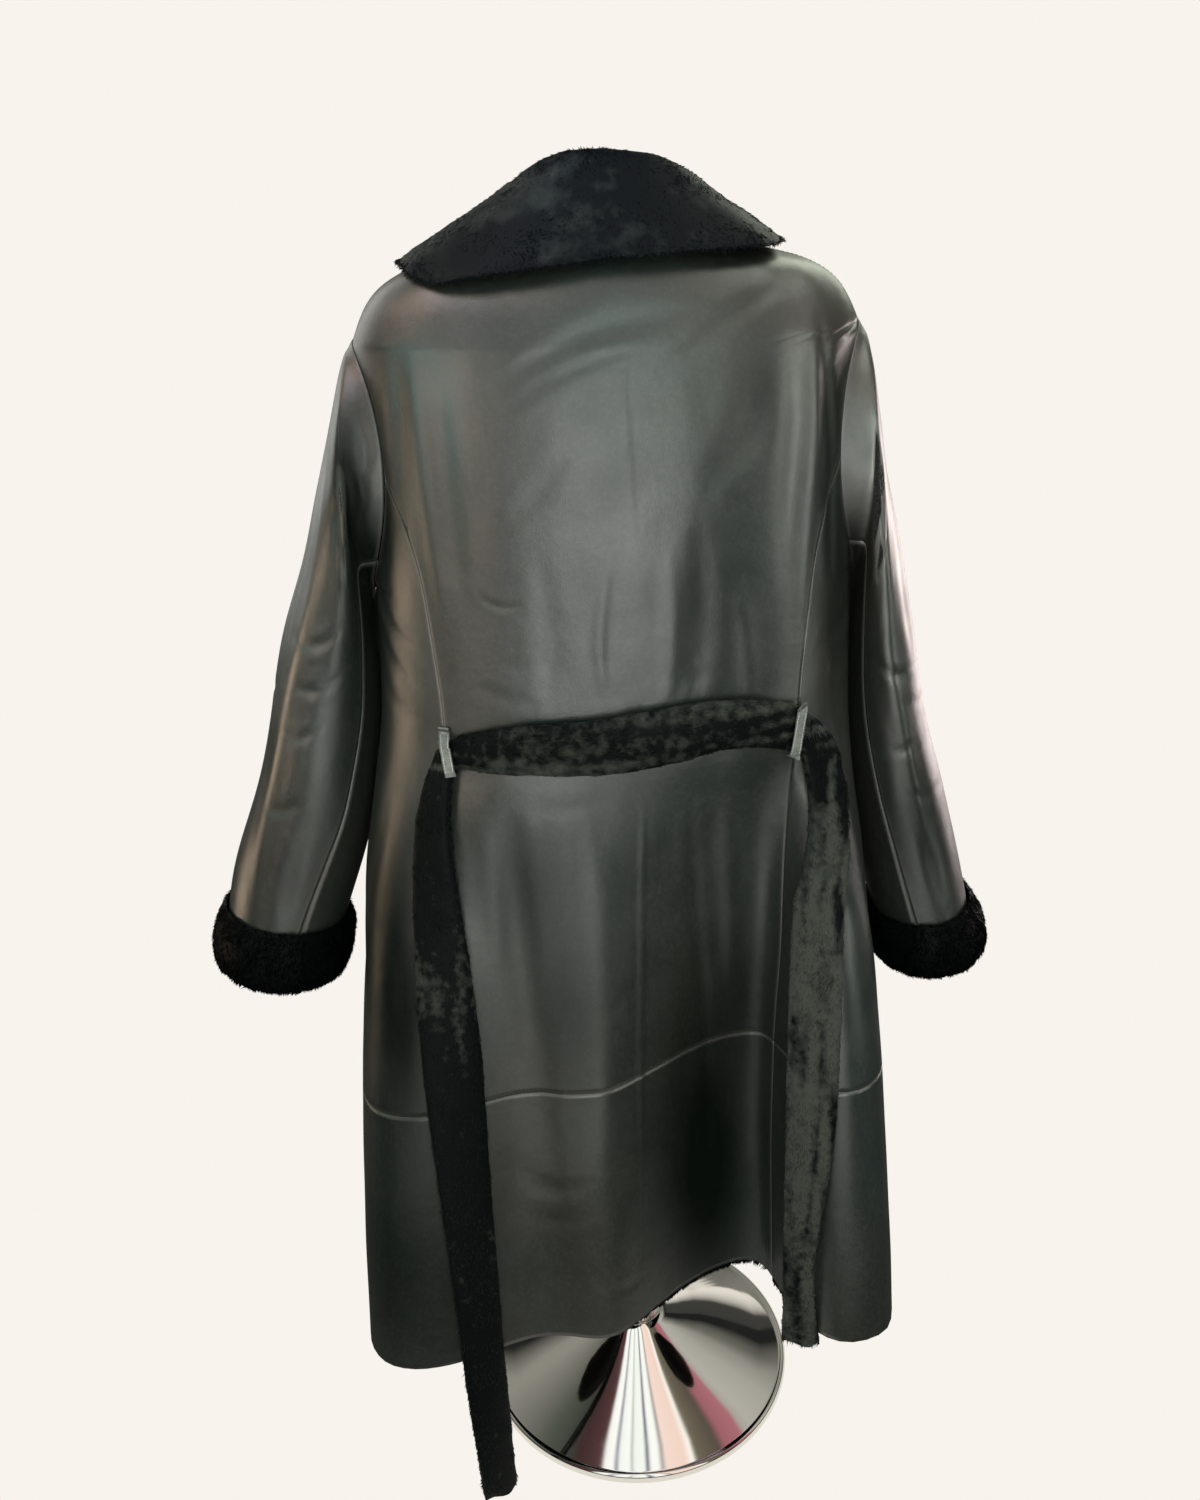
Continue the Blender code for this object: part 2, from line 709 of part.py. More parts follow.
def build_sleeve(table, hand, word):
    """The upper and the under sleeve, from the armhole to inside the cuff."""
    rows = [0, 0.5] + list(range(1, len(table) + 1))
    upper_columns = 2 * ARMHOLE_ROWS - UNDER_SLEEVE_COLUMNS

    def back_seam(row):
        index = min(max(int(round(row)), 1), len(table))
        return table[index - 1].seam

    def girth(row):
        points = [sleeve_row(table, hand, row, i / 24) for i in range(24)]
        return sum((a - b).length for a, b in zip(points, points[1:] + points[:1]))

    def upper(row):
        nudge = SEAM_GAP / 2 / girth(row)
        first = FRONT_SLEEVE_SEAM - 1 + nudge
        last = back_seam(row) - nudge
        return [first + (last - first) * j / upper_columns for j in range(upper_columns + 1)]

    def under(row):
        nudge = SEAM_GAP / 2 / girth(row)
        first = back_seam(row) + nudge
        last = FRONT_SLEEVE_SEAM - nudge
        columns = UNDER_SLEEVE_COLUMNS
        return [first + (last - first) * j / columns for j in range(columns + 1)]

    wall(f"sleeve_upper_{word}", *sleeve_grid(table, hand, rows, upper), leather())
    wall(f"sleeve_under_{word}", *sleeve_grid(table, hand, rows, under), leather())


def build_cuff(table, hand, word):
    """The turned-back fur cuff round the sleeve's end."""
    last = len(table)
    columns = 2 * ARMHOLE_ROWS
    rings = []
    for j in range(columns):
        turn = j / columns
        end = sleeve_row(table, hand, last, turn)
        run = end - sleeve_row(table, hand, last - 2, turn)
        along = run.normalized()
        ring = []
        for step in CUFF_PROFILE:
            row = last - step.up / run.length * 2
            if row < last:
                point = sleeve_row(table, hand, row, turn)
            else:
                point = end - along * step.up
            normal = sleeve_normal(table, hand, min(row, last), turn)
            ring.append(point + normal * step.out)
        rings.append(ring)
    tube(f"cuff_{word}", rings, fur(), closed_loop=True)


def round_point(path, angle):
    """A point of one of the collar's round lines."""
    depth = path.back if math.sin(angle) > 0 else path.front
    x, y = superellipse(np.array([angle]), path.side, depth, path.squareness)
    rise = abs(math.sin(angle))
    end_z = path.back_z if math.sin(angle) > 0 else path.front_z
    z = path.side_z + (end_z - path.side_z) * rise
    return Vector((float(x[0]), math.copysign(float(y[0]), math.sin(angle)), z))


def surface_below(trees, point):
    """Height of the highest cloth under a point, or None."""
    best = None
    for tree in trees:
        hit = tree.ray_cast(Vector((point.x, point.y, point.z + 0.2)), Vector((0, 0, -1)), 0.5)
        if hit[0] is not None and (best is None or hit[0].z > best):
            best = hit[0].z
    return best


def trees_of(items):
    """Search trees of finished pieces."""
    depsgraph = bpy.context.evaluated_depsgraph_get()
    return [BVHTree.FromObject(item, depsgraph) for item in items]


def build_collar(panels):
    """The large fur collar: a stand, a roll and a fall that rests on the shoulders."""
    trees = trees_of(panels)
    first = -math.pi / 2 + COLLAR_HALF_OPENING
    sweep = 2 * math.pi - 2 * COLLAR_HALF_OPENING
    edge_first = -math.pi / 2 + COLLAR_EDGE_OPENING
    rings = []
    for j in range(COLLAR_COLUMNS + 1):
        angle = first + sweep * j / COLLAR_COLUMNS
        outward = Vector((math.cos(angle), math.sin(angle), 0))
        up = Vector((0, 0, 1))
        foot = round_point(COLLAR_FOOT, angle)
        roll = round_point(COLLAR_ROLL, angle) + Vector((COLLAR_ROLL_SHIFT, 0, 0))
        edge_angle = edge_first + (2 * math.pi - 2 * COLLAR_EDGE_OPENING) * j / COLLAR_COLUMNS
        edge = round_point(COLLAR_EDGE, edge_angle)
        edge += Vector((COLLAR_SHIFT, 0, -COLLAR_TILT * edge.x))
        fall = (edge - roll).normalized()
        proud = (outward * -fall.z + up * fall.dot(outward)).normalized()
        heel = foot + outward * COLLAR_FOOT_HALF
        tip = edge - fall * COLLAR_EDGE_HALF - proud * COLLAR_EDGE_HALF
        under = [tip] + [heel.lerp(tip, share) for share in COLLAR_UNDER]
        for point in under:
            below = surface_below(trees, point)
            if below is not None:
                point.z = max(point.z, below + COLLAR_REST)
        edge = tip + fall * COLLAR_EDGE_HALF + proud * COLLAR_EDGE_HALF
        ring = [
            foot - outward * COLLAR_FOOT_HALF,
            foot.lerp(roll, COLLAR_WAIST) - outward * COLLAR_STAND,
            roll - outward * COLLAR_STAND - up * COLLAR_STAND,
            roll,
        ]
        ring += [roll.lerp(edge, share) + proud * bulge for share, bulge in COLLAR_FALL]
        ring += [
            edge + proud * COLLAR_EDGE_PROUD,
            *under,
            heel,
        ]
        rings.append(ring)
    return tube("collar", rings, fur())


def surface_behind(trees, x, z):
    """How far back the outermost cloth stands at x and z, or None where there is none."""
    best = None
    for tree in trees:
        hit = tree.ray_cast(Vector((x, 0.5, z)), Vector((0, -1, 0)), 0.6)
        if hit[0] is not None and (best is None or hit[0].y > best):
            best = hit[0].y
    return best


def belt_stations():
    """The belt's table, read from a smooth curve at even steps between its rows."""
    rows = [np.array(row) for row in BELT]
    rows = [2 * rows[0] - rows[1]] + rows + [2 * rows[-1] - rows[-2]]
    made = []
    for i in range(1, len(rows) - 2):
        for k in range(BELT_STEPS):
            t = k / BELT_STEPS
            a, b, c, d = rows[i - 1 : i + 3]
            spline = 0.5 * (
                2 * b + (c - a) * t + (2 * a - 5 * b + 4 * c - d) * t**2 + (3 * b - a - 3 * c + d) * t**3
            )
            made.append(Belt(*spline))
    made.append(BELT[-1])
    return made


def bridged(seats, stations):
    """Below the loops the belt hangs straight over the hollows of the cloth behind it."""
    for _ in range(BRIDGE_ROUNDS):
        for i in range(1, len(seats) - 1):
            near, here, far = stations[i - 1 : i + 2]
            if max(near.z, far.z) > BELT_HANG_Z:
                continue
            ahead = math.hypot(far.x - here.x, far.z - here.z)
            behind = math.hypot(here.x - near.x, here.z - near.z)
            bridge = (seats[i - 1] * ahead + seats[i + 1] * behind) / (ahead + behind)
            seats[i] = max(seats[i], bridge)
    return seats


def build_belt(panels):
    """The fur belt, laid on the back and hanging from both loops."""
    trees = trees_of(panels)
    stations = belt_stations()
    crosses = []
    for i in range(len(stations)):
        before = stations[max(i - 1, 0)]
        after = stations[min(i + 1, len(stations) - 1)]
        run = Vector((after.x - before.x, 0, after.z - before.z)).normalized()
        crosses.append(Vector((-run.z, 0, run.x)))
    lines = []
    for share in BELT_SHARES:
        seats = []
        for station, cross in zip(stations, crosses):
            x = station.x + cross.x * station.width * share
            z = station.z + cross.z * station.width * share
            seats.append(surface_behind(trees, x, z))
        known = [i for i, y in enumerate(seats) if y is not None]
        seats = [seats[min(max(i, known[0]), known[-1])] for i in range(len(seats))]
        lines.append(bridged(seats, stations))
    rings = []
    for station, cross, *seats in zip(stations, crosses, *lines):
        tilt = (seats[-1] - seats[0]) / (BELT_SHARES[-1] - BELT_SHARES[0])
        tilt = min(max(tilt, -BELT_TILT * station.width), BELT_TILT * station.width)
        rest = max(y - tilt * share for y, share in zip(seats, BELT_SHARES))
        across = cross * station.width / 2 + Vector((0, tilt / 2, 0))
        seat = Vector((station.x, rest + BELT_GAP, station.z))
        run = Vector((cross.z, 0, -cross.x))
        thick = across.cross(run).normalized() * station.thick
        if thick.y < 0:
            thick = -thick
        rings.append([seat + across * corner.across + thick * corner.up for corner in BELT_SHAPE])
    return tube("belt", rings, fur())


def build_loop(panels, belt, loop):
    """A thin leather loop over the belt, sewn to the back above and below it."""
    panel_trees = trees_of(panels)
    belt_trees = trees_of([belt])
    middles = spaced(loop.top_x, loop.bottom_x, LOOP_STEPS)
    heights = spaced(loop.top_z, loop.bottom_z, LOOP_STEPS)
    lines = []
    for share in LOOP_SHARES:
        over = []
        for x, z in zip(middles, heights):
            cloth = surface_behind(panel_trees, x + LOOP_WIDTH * share, z)
            fur_behind = surface_behind(belt_trees, x + LOOP_WIDTH * share, z)
            seat = cloth + LOOP_SEAT
            over.append(seat if fur_behind is None else max(seat, fur_behind + LOOP_GAP))
        lines.append([max(over[max(i - 1, 0) : i + 2]) for i in range(len(over))])
    rings = []
    for x, z, *seats in zip(middles, heights, *lines):
        near, far = seats[0], seats[-1]
        lift = max(y - near - (far - near) * (share + 0.5) for y, share in zip(seats, LOOP_SHARES))
        near, far = near + lift, far + lift
        left = Vector((x - LOOP_WIDTH / 2, near, z))
        right = Vector((x + LOOP_WIDTH / 2, far, z))
        thick = Vector((near - far, LOOP_WIDTH, 0)).normalized() * LOOP_THICK
        rings.append([left, right, right + thick, left + thick])
    return tube(f"belt_loop_{loop.word}", rings, leather())


def build_welt(hand, word):
    """A slanted pocket welt on a front, made from the front's own points moved out."""
    outer = []
    inner = []
    for i in range(WELT_ROWS + 1):
        share = i / WELT_ROWS
        z = WELT_BOTTOM_Z + (WELT_TOP_Z - WELT_BOTTOM_Z) * share
        x = WELT_BOTTOM_X + (WELT_TOP_X - WELT_BOTTOM_X) * share
        outer_row = []
        inner_row = []
        for j in range(WELT_COLUMNS + 1):
            part = part_at_x("front", z, hand * x + shift_at(z))
            part += hand * WELT_WIDTH * j / WELT_COLUMNS / half_length("front", z)
            normal = body_normal("front", z, part)
            point = on_body("front", z, part)
            inner_row.append(point + normal * 2 * LAY_GAP)
            outer_row.append(point + normal * (2 * LAY_GAP + WELT_THICK))
        outer.append(outer_row)
        inner.append(inner_row)
    return wall(f"pocket_welt_{word}", outer, inner, leather())


def coat_ring(z, inset, count):
    """A closed ring of the coat's outline at height z, moved in by inset."""
    ring = []
    for i in range(count):
        share = 2 * i / count
        side = "back" if share < 1 else "front"
        part = share if share < 1 else 2 - share
        point = on_body(side, z, part)
        depth = inset if side == "back" else inset + lap_depth(abs(point.x) - FORM_LAP_MARGIN, z)
        ring.append(point - body_normal(side, z, part) * depth)
    return ring


def round_rings(profile, turns):
    """Level circles, one for each radius and height of a profile."""
    return [[Vector((radius * math.cos(t), radius * math.sin(t), z)) for t in turns] for radius, z in profile]


def build_form():
    """The smooth limbless torso and its neck cap."""
    rings = []
    turns = [2 * math.pi * i / FORM_COLUMNS for i in range(FORM_COLUMNS)]
    for row in TORSO:
        ring = []
        for turn in turns:
            depth = row.back if math.sin(turn) > 0 else row.front
            x, y = superellipse(np.array([turn]), row.half_width, depth, row.squareness)
            ring.append(Vector((float(x[0]), math.copysign(float(y[0]), math.sin(turn)), row.z)))
        rings.append(ring)
    for row in FORM_INSETS:
        rings.append(coat_ring(row.z, row.depth, FORM_COLUMNS))
    cloth = material("form cloth", FORM_CLOTH)
    tube("form_body", rings + round_rings(FORM_NECK, turns), cloth)
    tube("form_neck", round_rings(FORM_CAP, turns), cloth)


def turned(name, profile, steps, finish):
    """A solid turned round the upright axis."""
    maker = bmesh.new()
    verts = [maker.verts.new((radius, 0, z)) for radius, z in profile]
    edges = [maker.edges.new(pair) for pair in zip(verts, verts[1:])]
    if profile[0][0] > 1e-6:
        edges.append(maker.edges.new((verts[-1], verts[0])))
    bmesh.ops.spin(
        maker,
        geom=verts + edges,
        cent=(0, 0, 0),
        axis=(0, 0, 1),
        angle=2 * math.pi,
        steps=steps,
        use_merge=True,
    )
    bmesh.ops.remove_doubles(maker, verts=maker.verts, dist=1e-6)
    return add_object(name, maker, finish)


def build_stand():
    """The pole, the nut at its foot and the trumpet base."""
    chrome = material("chrome", CHROME)
    turned("stand_base", BASE_PROFILE, BASE_STEPS, chrome)
    turned("stand_nut", NUT_PROFILE, POLE_STEPS, chrome)
    bottom = BASE_PROFILE[-1][1] + SEAM_GAP
    top = TORSO[0].z - SEAM_GAP
    pole = [(0, bottom), (POLE_RADIUS, bottom), (POLE_RADIUS, top), (0, top)]
    turned("stand_pole", pole, POLE_STEPS, chrome)


def main():
    """Build the coat, then what it stands on."""
    clear_scene()
    back_panels = build_back()
    fronts = build_fronts()
    for table, hand, word in ((SLEEVE_LEFT, 1, "left"), (SLEEVE_RIGHT, -1, "right")):
        build_sleeve(table, hand, word)
        build_cuff(table, hand, word)
    build_collar(back_panels + fronts)
    belt = build_belt(back_panels)
    for loop in LOOPS:
        build_loop(back_panels, belt, loop)
    for hand, word in ((1, "left"), (-1, "right")):
        build_welt(hand, word)
    build_form()
    build_stand()


main()
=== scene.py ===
"""The looks of a leather coat with fur trim on its dress form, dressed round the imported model."""

import logging
import math
from dataclasses import dataclass, field
from enum import Enum
from typing import Callable, Iterable, Sequence

import bmesh
import bpy
import numpy as np
from bpy.types import ID, Material, Mesh, NodeSocket, Object, World
from mathutils import Euler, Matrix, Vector
from mathutils.bvhtree import BVHTree
from mathutils.kdtree import KDTree


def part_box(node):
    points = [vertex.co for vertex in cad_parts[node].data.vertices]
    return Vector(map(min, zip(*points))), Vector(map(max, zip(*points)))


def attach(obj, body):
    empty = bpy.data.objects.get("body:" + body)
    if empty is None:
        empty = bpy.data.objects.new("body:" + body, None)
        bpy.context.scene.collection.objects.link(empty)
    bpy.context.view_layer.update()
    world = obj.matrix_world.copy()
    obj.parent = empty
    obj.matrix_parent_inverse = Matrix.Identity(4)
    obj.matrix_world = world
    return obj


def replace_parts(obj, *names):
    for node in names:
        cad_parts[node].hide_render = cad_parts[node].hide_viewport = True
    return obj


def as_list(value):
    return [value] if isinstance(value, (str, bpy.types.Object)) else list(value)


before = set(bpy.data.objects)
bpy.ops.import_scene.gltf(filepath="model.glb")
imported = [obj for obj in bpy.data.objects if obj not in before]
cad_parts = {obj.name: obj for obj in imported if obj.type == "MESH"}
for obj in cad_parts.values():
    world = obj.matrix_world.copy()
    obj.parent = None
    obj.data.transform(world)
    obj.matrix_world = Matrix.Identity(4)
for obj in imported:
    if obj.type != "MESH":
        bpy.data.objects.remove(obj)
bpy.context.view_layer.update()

LOG = logging.getLogger("leather_coat")

# Sizes that several pieces share, and how near seams, armholes and worn edges reach, in metres
MERGE = 1e-5
WALL = 0.006
WELT_WALL = 0.0035
LOOP_WALL = 0.0018
HEM_Z = 0.200
NEAR_SEAM = 0.0016
NEAR_ARMHOLE = 0.006
WEAR_REACH = 0.0035

# Angles at which triangles pair up, and above which an edge stays sharp
PAIR_BEND, PAIR_SKEW = math.radians(25), math.radians(60)
SHARP, SHARP_CHROME = math.radians(50), math.radians(40)

# How a ray finds the other side of a wall: its start and its end in walls, and how opposite that side looks
PROBE_START, PROBE_END, OPPOSITE = 0.3, 1.3, -0.6

# Levels of subdivision, and how often and how far a fine mesh is drawn back to its coarse points
LEVELS, FILL_ROUNDS, FILL_SHARE = 2, 3, 0.8

# The body's creases against their table, and a crease's fade at its ends, ridges beside it and least width
BODY_DEPTH, BODY_WIDTH = 0.8, 1.1
CREASE_FADE, CREASE_RIDGE, CREASE_LEAST = 0.8, 1.1, 0.55

SIDES = ("left", "right")
LEVEL = np.array((1.0, 1.0, 0.0))
DOWN = np.array((0.0, 0.0, -1.0))

Colour = tuple[float, float, float]
Points = np.ndarray
Field = Callable[[Points], np.ndarray]
StitchRow = tuple[Points, Points, Points]


class Zone(Enum):
    """The parts of the coat that crease on their own, each sleeve by its side."""

    BODY = "body"
    SLEEVE_LEFT = "left"
    SLEEVE_RIGHT = "right"


class View(Enum):
    """The side that a crease is drawn from: the axis that it is seen along, and from which end."""

    BACK = (1, 1.0)
    FRONT = (1, -1.0)
    LEFT = (0, 1.0)
    RIGHT = (0, -1.0)


class Side(Enum):
    """The three kinds of face of a wall of cloth, by material index."""

    OUTER = 0
    INNER = 1
    RIM = 2


class Nodes:
    """Adds and links the nodes of a material or of the world."""

    def __init__(self, owner: Material | World) -> None:
        """Turns the owner's nodes on."""
        owner.use_nodes = True
        self.nodes, self.links = owner.node_tree.nodes, owner.node_tree.links

    def add(self, kind: str, output: str | int, inputs: dict | None = None, **settings) -> NodeSocket:
        """Adds a node.

        Args:
            kind: The node's Blender type, without ShaderNode.
            output: Name or number of the output to give back.
            inputs: Socket names or numbers with a value or an output to link.
            settings: The node's own properties.

        Returns:
            The new node's output.
        """
        node = self.nodes.new("ShaderNode" + kind)
        for key, value in settings.items():
            setattr(node, key, value)
        for key, value in (inputs or {}).items():
            self.feed(node.inputs[key], value)
        return node.outputs[output]

    def feed(self, socket: NodeSocket, value) -> None:
        """Links an output to a socket, or sets the socket's own value.

        Args:
            socket: The input.
            value: An output, or a plain value.
        """
        if isinstance(value, NodeSocket):
            self.links.new(value, socket)
        else:
            socket.default_value = value

    def spread(self, value, low: float, high: float, start: float = 0.3, end: float = 0.7) -> NodeSocket:
        """Maps start..end of a value to low..high and holds it there."""
        inputs = {"Value": value, "From Min": start, "From Max": end, "To Min": low, "To Max": high}
        return self.add("MapRange", "Result", inputs)

    def blend(self, share, first, second) -> NodeSocket:
        """Mixes two colours, each a colour or an output: the first at share 0, the second at share 1."""
        first, second = ((*part, 1.0) if isinstance(part, tuple) else part for part in (first, second))
        return self.add("Mix", 2, {6: first, 7: second, 0: share}, data_type="RGBA")


class Shader(Nodes):
    """Builds the node tree of one material round its Principled shader."""

    def __init__(self, name: str) -> None:
        """Starts a material of that name."""
        self.material = bpy.data.materials.new(name)
        super().__init__(self.material)

    def set(self, **values) -> Material:
        """Sets the Principled shader's sockets.

        Args:
            values: Values or outputs by the socket's name, with _ for a space.

        Returns:
            The material.
        """
        for key, value in values.items():
            self.feed(self.nodes["Principled BSDF"].inputs[key.replace("_", " ")], value)
        return self.material

    def place(self, stretch: Sequence[float] = (1, 1, 1)) -> NodeSocket:
        """Object coordinates, stretched by a factor on each axis."""
        return self.add("Mapping", "Vector", {"Vector": self.add("TexCoord", "Object"), "Scale": stretch})

    def noise(self, scale: float, detail: float = 2.0, stretch: Sequence[float] = (1, 1, 1)) -> NodeSocket:
        """Fractal noise from 0 to 1 on object coordinates.

        Args:
            scale: Cells to a metre.
            detail: Octaves of finer noise.
            stretch: A factor on each axis.

        Returns:
            The noise's value output.
        """
        inputs = {"Vector": self.place(stretch), "Scale": scale, "Detail": detail, "Roughness": 0.55}
        return self.add("TexNoise", "Fac", inputs)

    def cells(self, scale: float) -> NodeSocket:
        """Distance to the nearest cell centre, for pebbled grain and chopped fur."""
        return self.add("TexVoronoi", "Distance", {"Vector": self.place(), "Scale": scale})

    def ribs(self, scale: float, distortion: float = 0.0) -> NodeSocket:
        """Even waves across the piece, for knitted ribs and twisted thread."""
        return self.add("TexWave", "Fac", {"Vector": self.place(), "Scale": scale, "Distortion": distortion})

    def attribute(self, name: str) -> NodeSocket:
        """The value of a mesh attribute."""
        return self.add("Attribute", "Fac", attribute_name=name)

    def sum(self, first, second, share: float = 1.0) -> NodeSocket:
        """first + share * second."""
        return self.add("Math", 0, {0: second, 1: share, 2: first}, operation="MULTIPLY_ADD")

    def vector(self, operation: str, *inputs, output: str = "Vector") -> NodeSocket:
        """The result of a vector operation."""
        return self.add("VectorMath", output, dict(enumerate(inputs)), operation=operation)

    def bump(self, height, distance: float, strength: float = 1.0, under=None) -> NodeSocket:
        """Bump of a height from 0 to 1.

        Args:
            height: Height output.
            distance: Metres that a height of 1 stands for.
            strength: Share of the effect.
            under: Normal of the bump below, or None.

        Returns:
            The normal output.
        """
        inputs = {"Height": height, "Distance": distance, "Strength": strength}
        return self.add("Bump", "Normal", inputs if under is None else {**inputs, "Normal": under})


@dataclass(frozen=True)
class LeatherFinish:
    """Nappa side of the shearling: near black, satin, with a fine grain, uneven tint, paler worn edges, and
    patches of painted shade and painted highlight.
    """

    name: str = "coat_leather"
    cool: Colour = (0.0050, 0.0105, 0.0098)
    warm: Colour = (0.0130, 0.0125, 0.0095)
    # deep is the painted shade colour that the shade patches darken the leather to
    deep: Colour = (0.0012, 0.0026, 0.0020)
    worn: Colour = (0.050, 0.049, 0.045)
    smooth: float = 0.31
    matt: float = 0.43
    # specular runs from the painted highlight patches to the painted shade patches
    specular: tuple[float, float] = (1.40, 0.06)

    def build(self) -> Material:
        """Builds the leather.

        Returns:
            The material.
        """
        shader = Shader(self.name)
        tint = shader.spread(shader.noise(3.2, 2.0, (1.0, 1.0, 0.55)), 0.0, 1.0, 0.36, 0.64)
        colour = shader.blend(tint, self.cool, self.warm)
        fleck = shader.spread(shader.noise(260.0, 3.0), 0.0, 0.22, 0.45, 0.75)
        colour = shader.blend(fleck, colour, self.worn)
        # Painted shade: the patches darken the colour towards deep
        painted_shade_and_shine = shader.attribute("painted_shade_and_shine")
        colour = shader.blend(shader.spread(painted_shade_and_shine, 0.0, 0.85, 0.0, 1.0), colour, self.deep)
        wear = shader.spread(shader.attribute("wear"), 0.0, 0.55, 0.2, 1.0)
        colour = shader.blend(wear, colour, self.worn)
        satin = shader.spread(shader.noise(14.0, 3.0), self.smooth, self.matt)
        soft = shader.bump(shader.noise(38.0, 2.0), 0.0016, 0.35)
        grain = shader.sum(shader.cells(1300.0), shader.noise(700.0, 2.0), 0.6)
        normal = shader.bump(grain, 0.00022, 0.35, soft)
        # Painted highlight and shade: the patches raise or lower the specular level
        gloss = shader.spread(painted_shade_and_shine, *self.specular, -1.0, 1.0)
        shader.set(Base_Color=colour, Roughness=satin, Normal=normal)
        return shader.set(Specular_IOR_Level=gloss, IOR=1.5)


@dataclass(frozen=True)
class NapFinish:
    """The shearling's inner side: clipped black fur, matt, with a soft sheen."""

    name: str = "coat_nap"
    deep: Colour = (0.004, 0.0045, 0.0045)
    high: Colour = (0.022, 0.022, 0.021)

    def build(self) -> Material:
        """Builds the nap.

        Returns:
            The material.
        """
        shader = Shader(self.name)
        curl = shader.sum(shader.cells(420.0), shader.noise(180.0, 4.0), 0.8)
        colour = shader.blend(shader.spread(curl, 0.0, 1.0, 0.35, 1.1), self.high, self.deep)
        shader.set(Base_Color=colour, Roughness=0.85, Normal=shader.bump(curl, 0.0016, 0.8))
        sheen = {"Sheen_Weight": 0.25, "Sheen_Roughness": 0.45, "Sheen_Tint": (0.55, 0.58, 0.55, 1.0)}
        return shader.set(Specular_IOR_Level=0.2, **sheen)


@dataclass(frozen=True)
class FurFinish:
    """Black fur: dark at the roots, greyer at the tips, with painted sheen in cloudy pale patches where the
    pile turns.
    """

    name: str
    root: Colour
    tip: Colour
    # pale is the colour of the painted sheen
    pale: Colour
    gloss: float
    cloud: float = 60.0
    clouds: tuple[float, float] = (0.62, 1.10)
    sheen: float = 0.02
    rough: float = 0.5

    def build(self) -> Material:
        """Builds the fur, for the locks and for the skin under them.

        Returns:
            The material.
        """
        shader = Shader(self.name)
        # Painted sheen: pale patches from noise and the pale attribute
        mottle = shader.sum(shader.noise(self.cloud, 3.0), shader.attribute("pale"), 0.55)
        lit = shader.blend(shader.spread(mottle, 0.0, 1.0, *self.clouds), self.tip, self.pale)
        lit = shader.blend(shader.spread(shader.attribute("tone"), 0.0, 0.35, 0.0, 1.0), lit, self.tip)
        colour = shader.blend(shader.attribute("tip"), self.root, lit)
        shader.set(Base_Color=colour, Roughness=self.rough, Specular_IOR_Level=self.gloss)
        return shader.set(Sheen_Weight=self.sheen, Sheen_Roughness=0.4, Sheen_Tint=(0.6, 0.68, 0.66, 1.0))


@dataclass(frozen=True)
class PlainLeatherFinish:
    """Narrow strips of paler leather: the belt loops, and the raised seam edges, whose paleness is partly
    edge wear and partly painted highlight.
    """

    name: str
    colour: Colour
    edge: Colour
    rough: float = 0.5

    def build(self) -> Material:
        """Builds the strip's leather.

        Returns:
            The material.
        """
        shader = Shader(self.name)
        colour = shader.blend(shader.spread(shader.noise(320.0, 3.0), 0.0, 1.0), self.colour, self.edge)
        normal = shader.bump(shader.cells(1500.0), 0.0002, 0.4)
        return shader.set(Base_Color=colour, Roughness=self.rough, Normal=normal)


@dataclass(frozen=True)
class ThreadFinish:
    """Twisted sewing thread."""

    name: str
    colour: Colour

    def build(self) -> Material:
        """Builds the thread.

        Returns:
            The material.
        """
        shader = Shader(self.name)
        normal = shader.bump(shader.ribs(900.0), 0.0001, 0.5)
        colour = shader.blend(shader.noise(900.0), self.colour, tuple(1.5 * part for part in self.colour))
        return shader.set(Base_Color=colour, Roughness=0.7, Normal=normal)


@dataclass(frozen=True)
class JerseyFinish:
    """The dress form's dark knitted cover: fine ribs with a soft bloom."""

    name: str = "form_jersey"
    dark: Colour = (0.030, 0.029, 0.028)
    light: Colour = (0.060, 0.058, 0.055)

    def build(self) -> Material:
        """Builds the jersey.

        Returns:
            The material.
        """
        shader = Shader(self.name)
        rows = shader.sum(shader.ribs(260.0, 0.8), shader.noise(500.0, 3.0), 0.7)
        colour = shader.blend(shader.spread(rows, 0.0, 1.0, 0.2, 1.4), self.dark, self.light)
        shader.set(Base_Color=colour, Roughness=0.9, Normal=shader.bump(rows, 0.0005, 0.6))
        return shader.set(Specular_IOR_Level=0.2, Sheen_Weight=0.2, Sheen_Roughness=0.5)


@dataclass(frozen=True)
class ChromeFinish:
    """Bright chrome plate with a faint haze, shaded as a slightly fuller bell than its turned form."""

    name: str = "stand_chrome"
    colour: Colour = (0.84, 0.83, 0.81)
    lean: float = 0.4

    def build(self) -> Material:
        """Builds the chrome.

        Returns:
            The material.
        """
        shader = Shader(self.name)
        haze = shader.spread(shader.noise(22.0, 4.0), 0.035, 0.085)
        normal = shader.bump(shader.noise(14.0, 1.0), 0.0006, 0.3)
        outwards = shader.vector("NORMALIZE", shader.place((1, 1, 0)))
        leaned = shader.vector("MULTIPLY_ADD", outwards, (self.lean,) * 3, normal)
        normal = shader.vector("NORMALIZE", leaned)
        return shader.set(Base_Color=(*self.colour, 1.0), Metallic=1.0, Roughness=haze, Normal=normal)


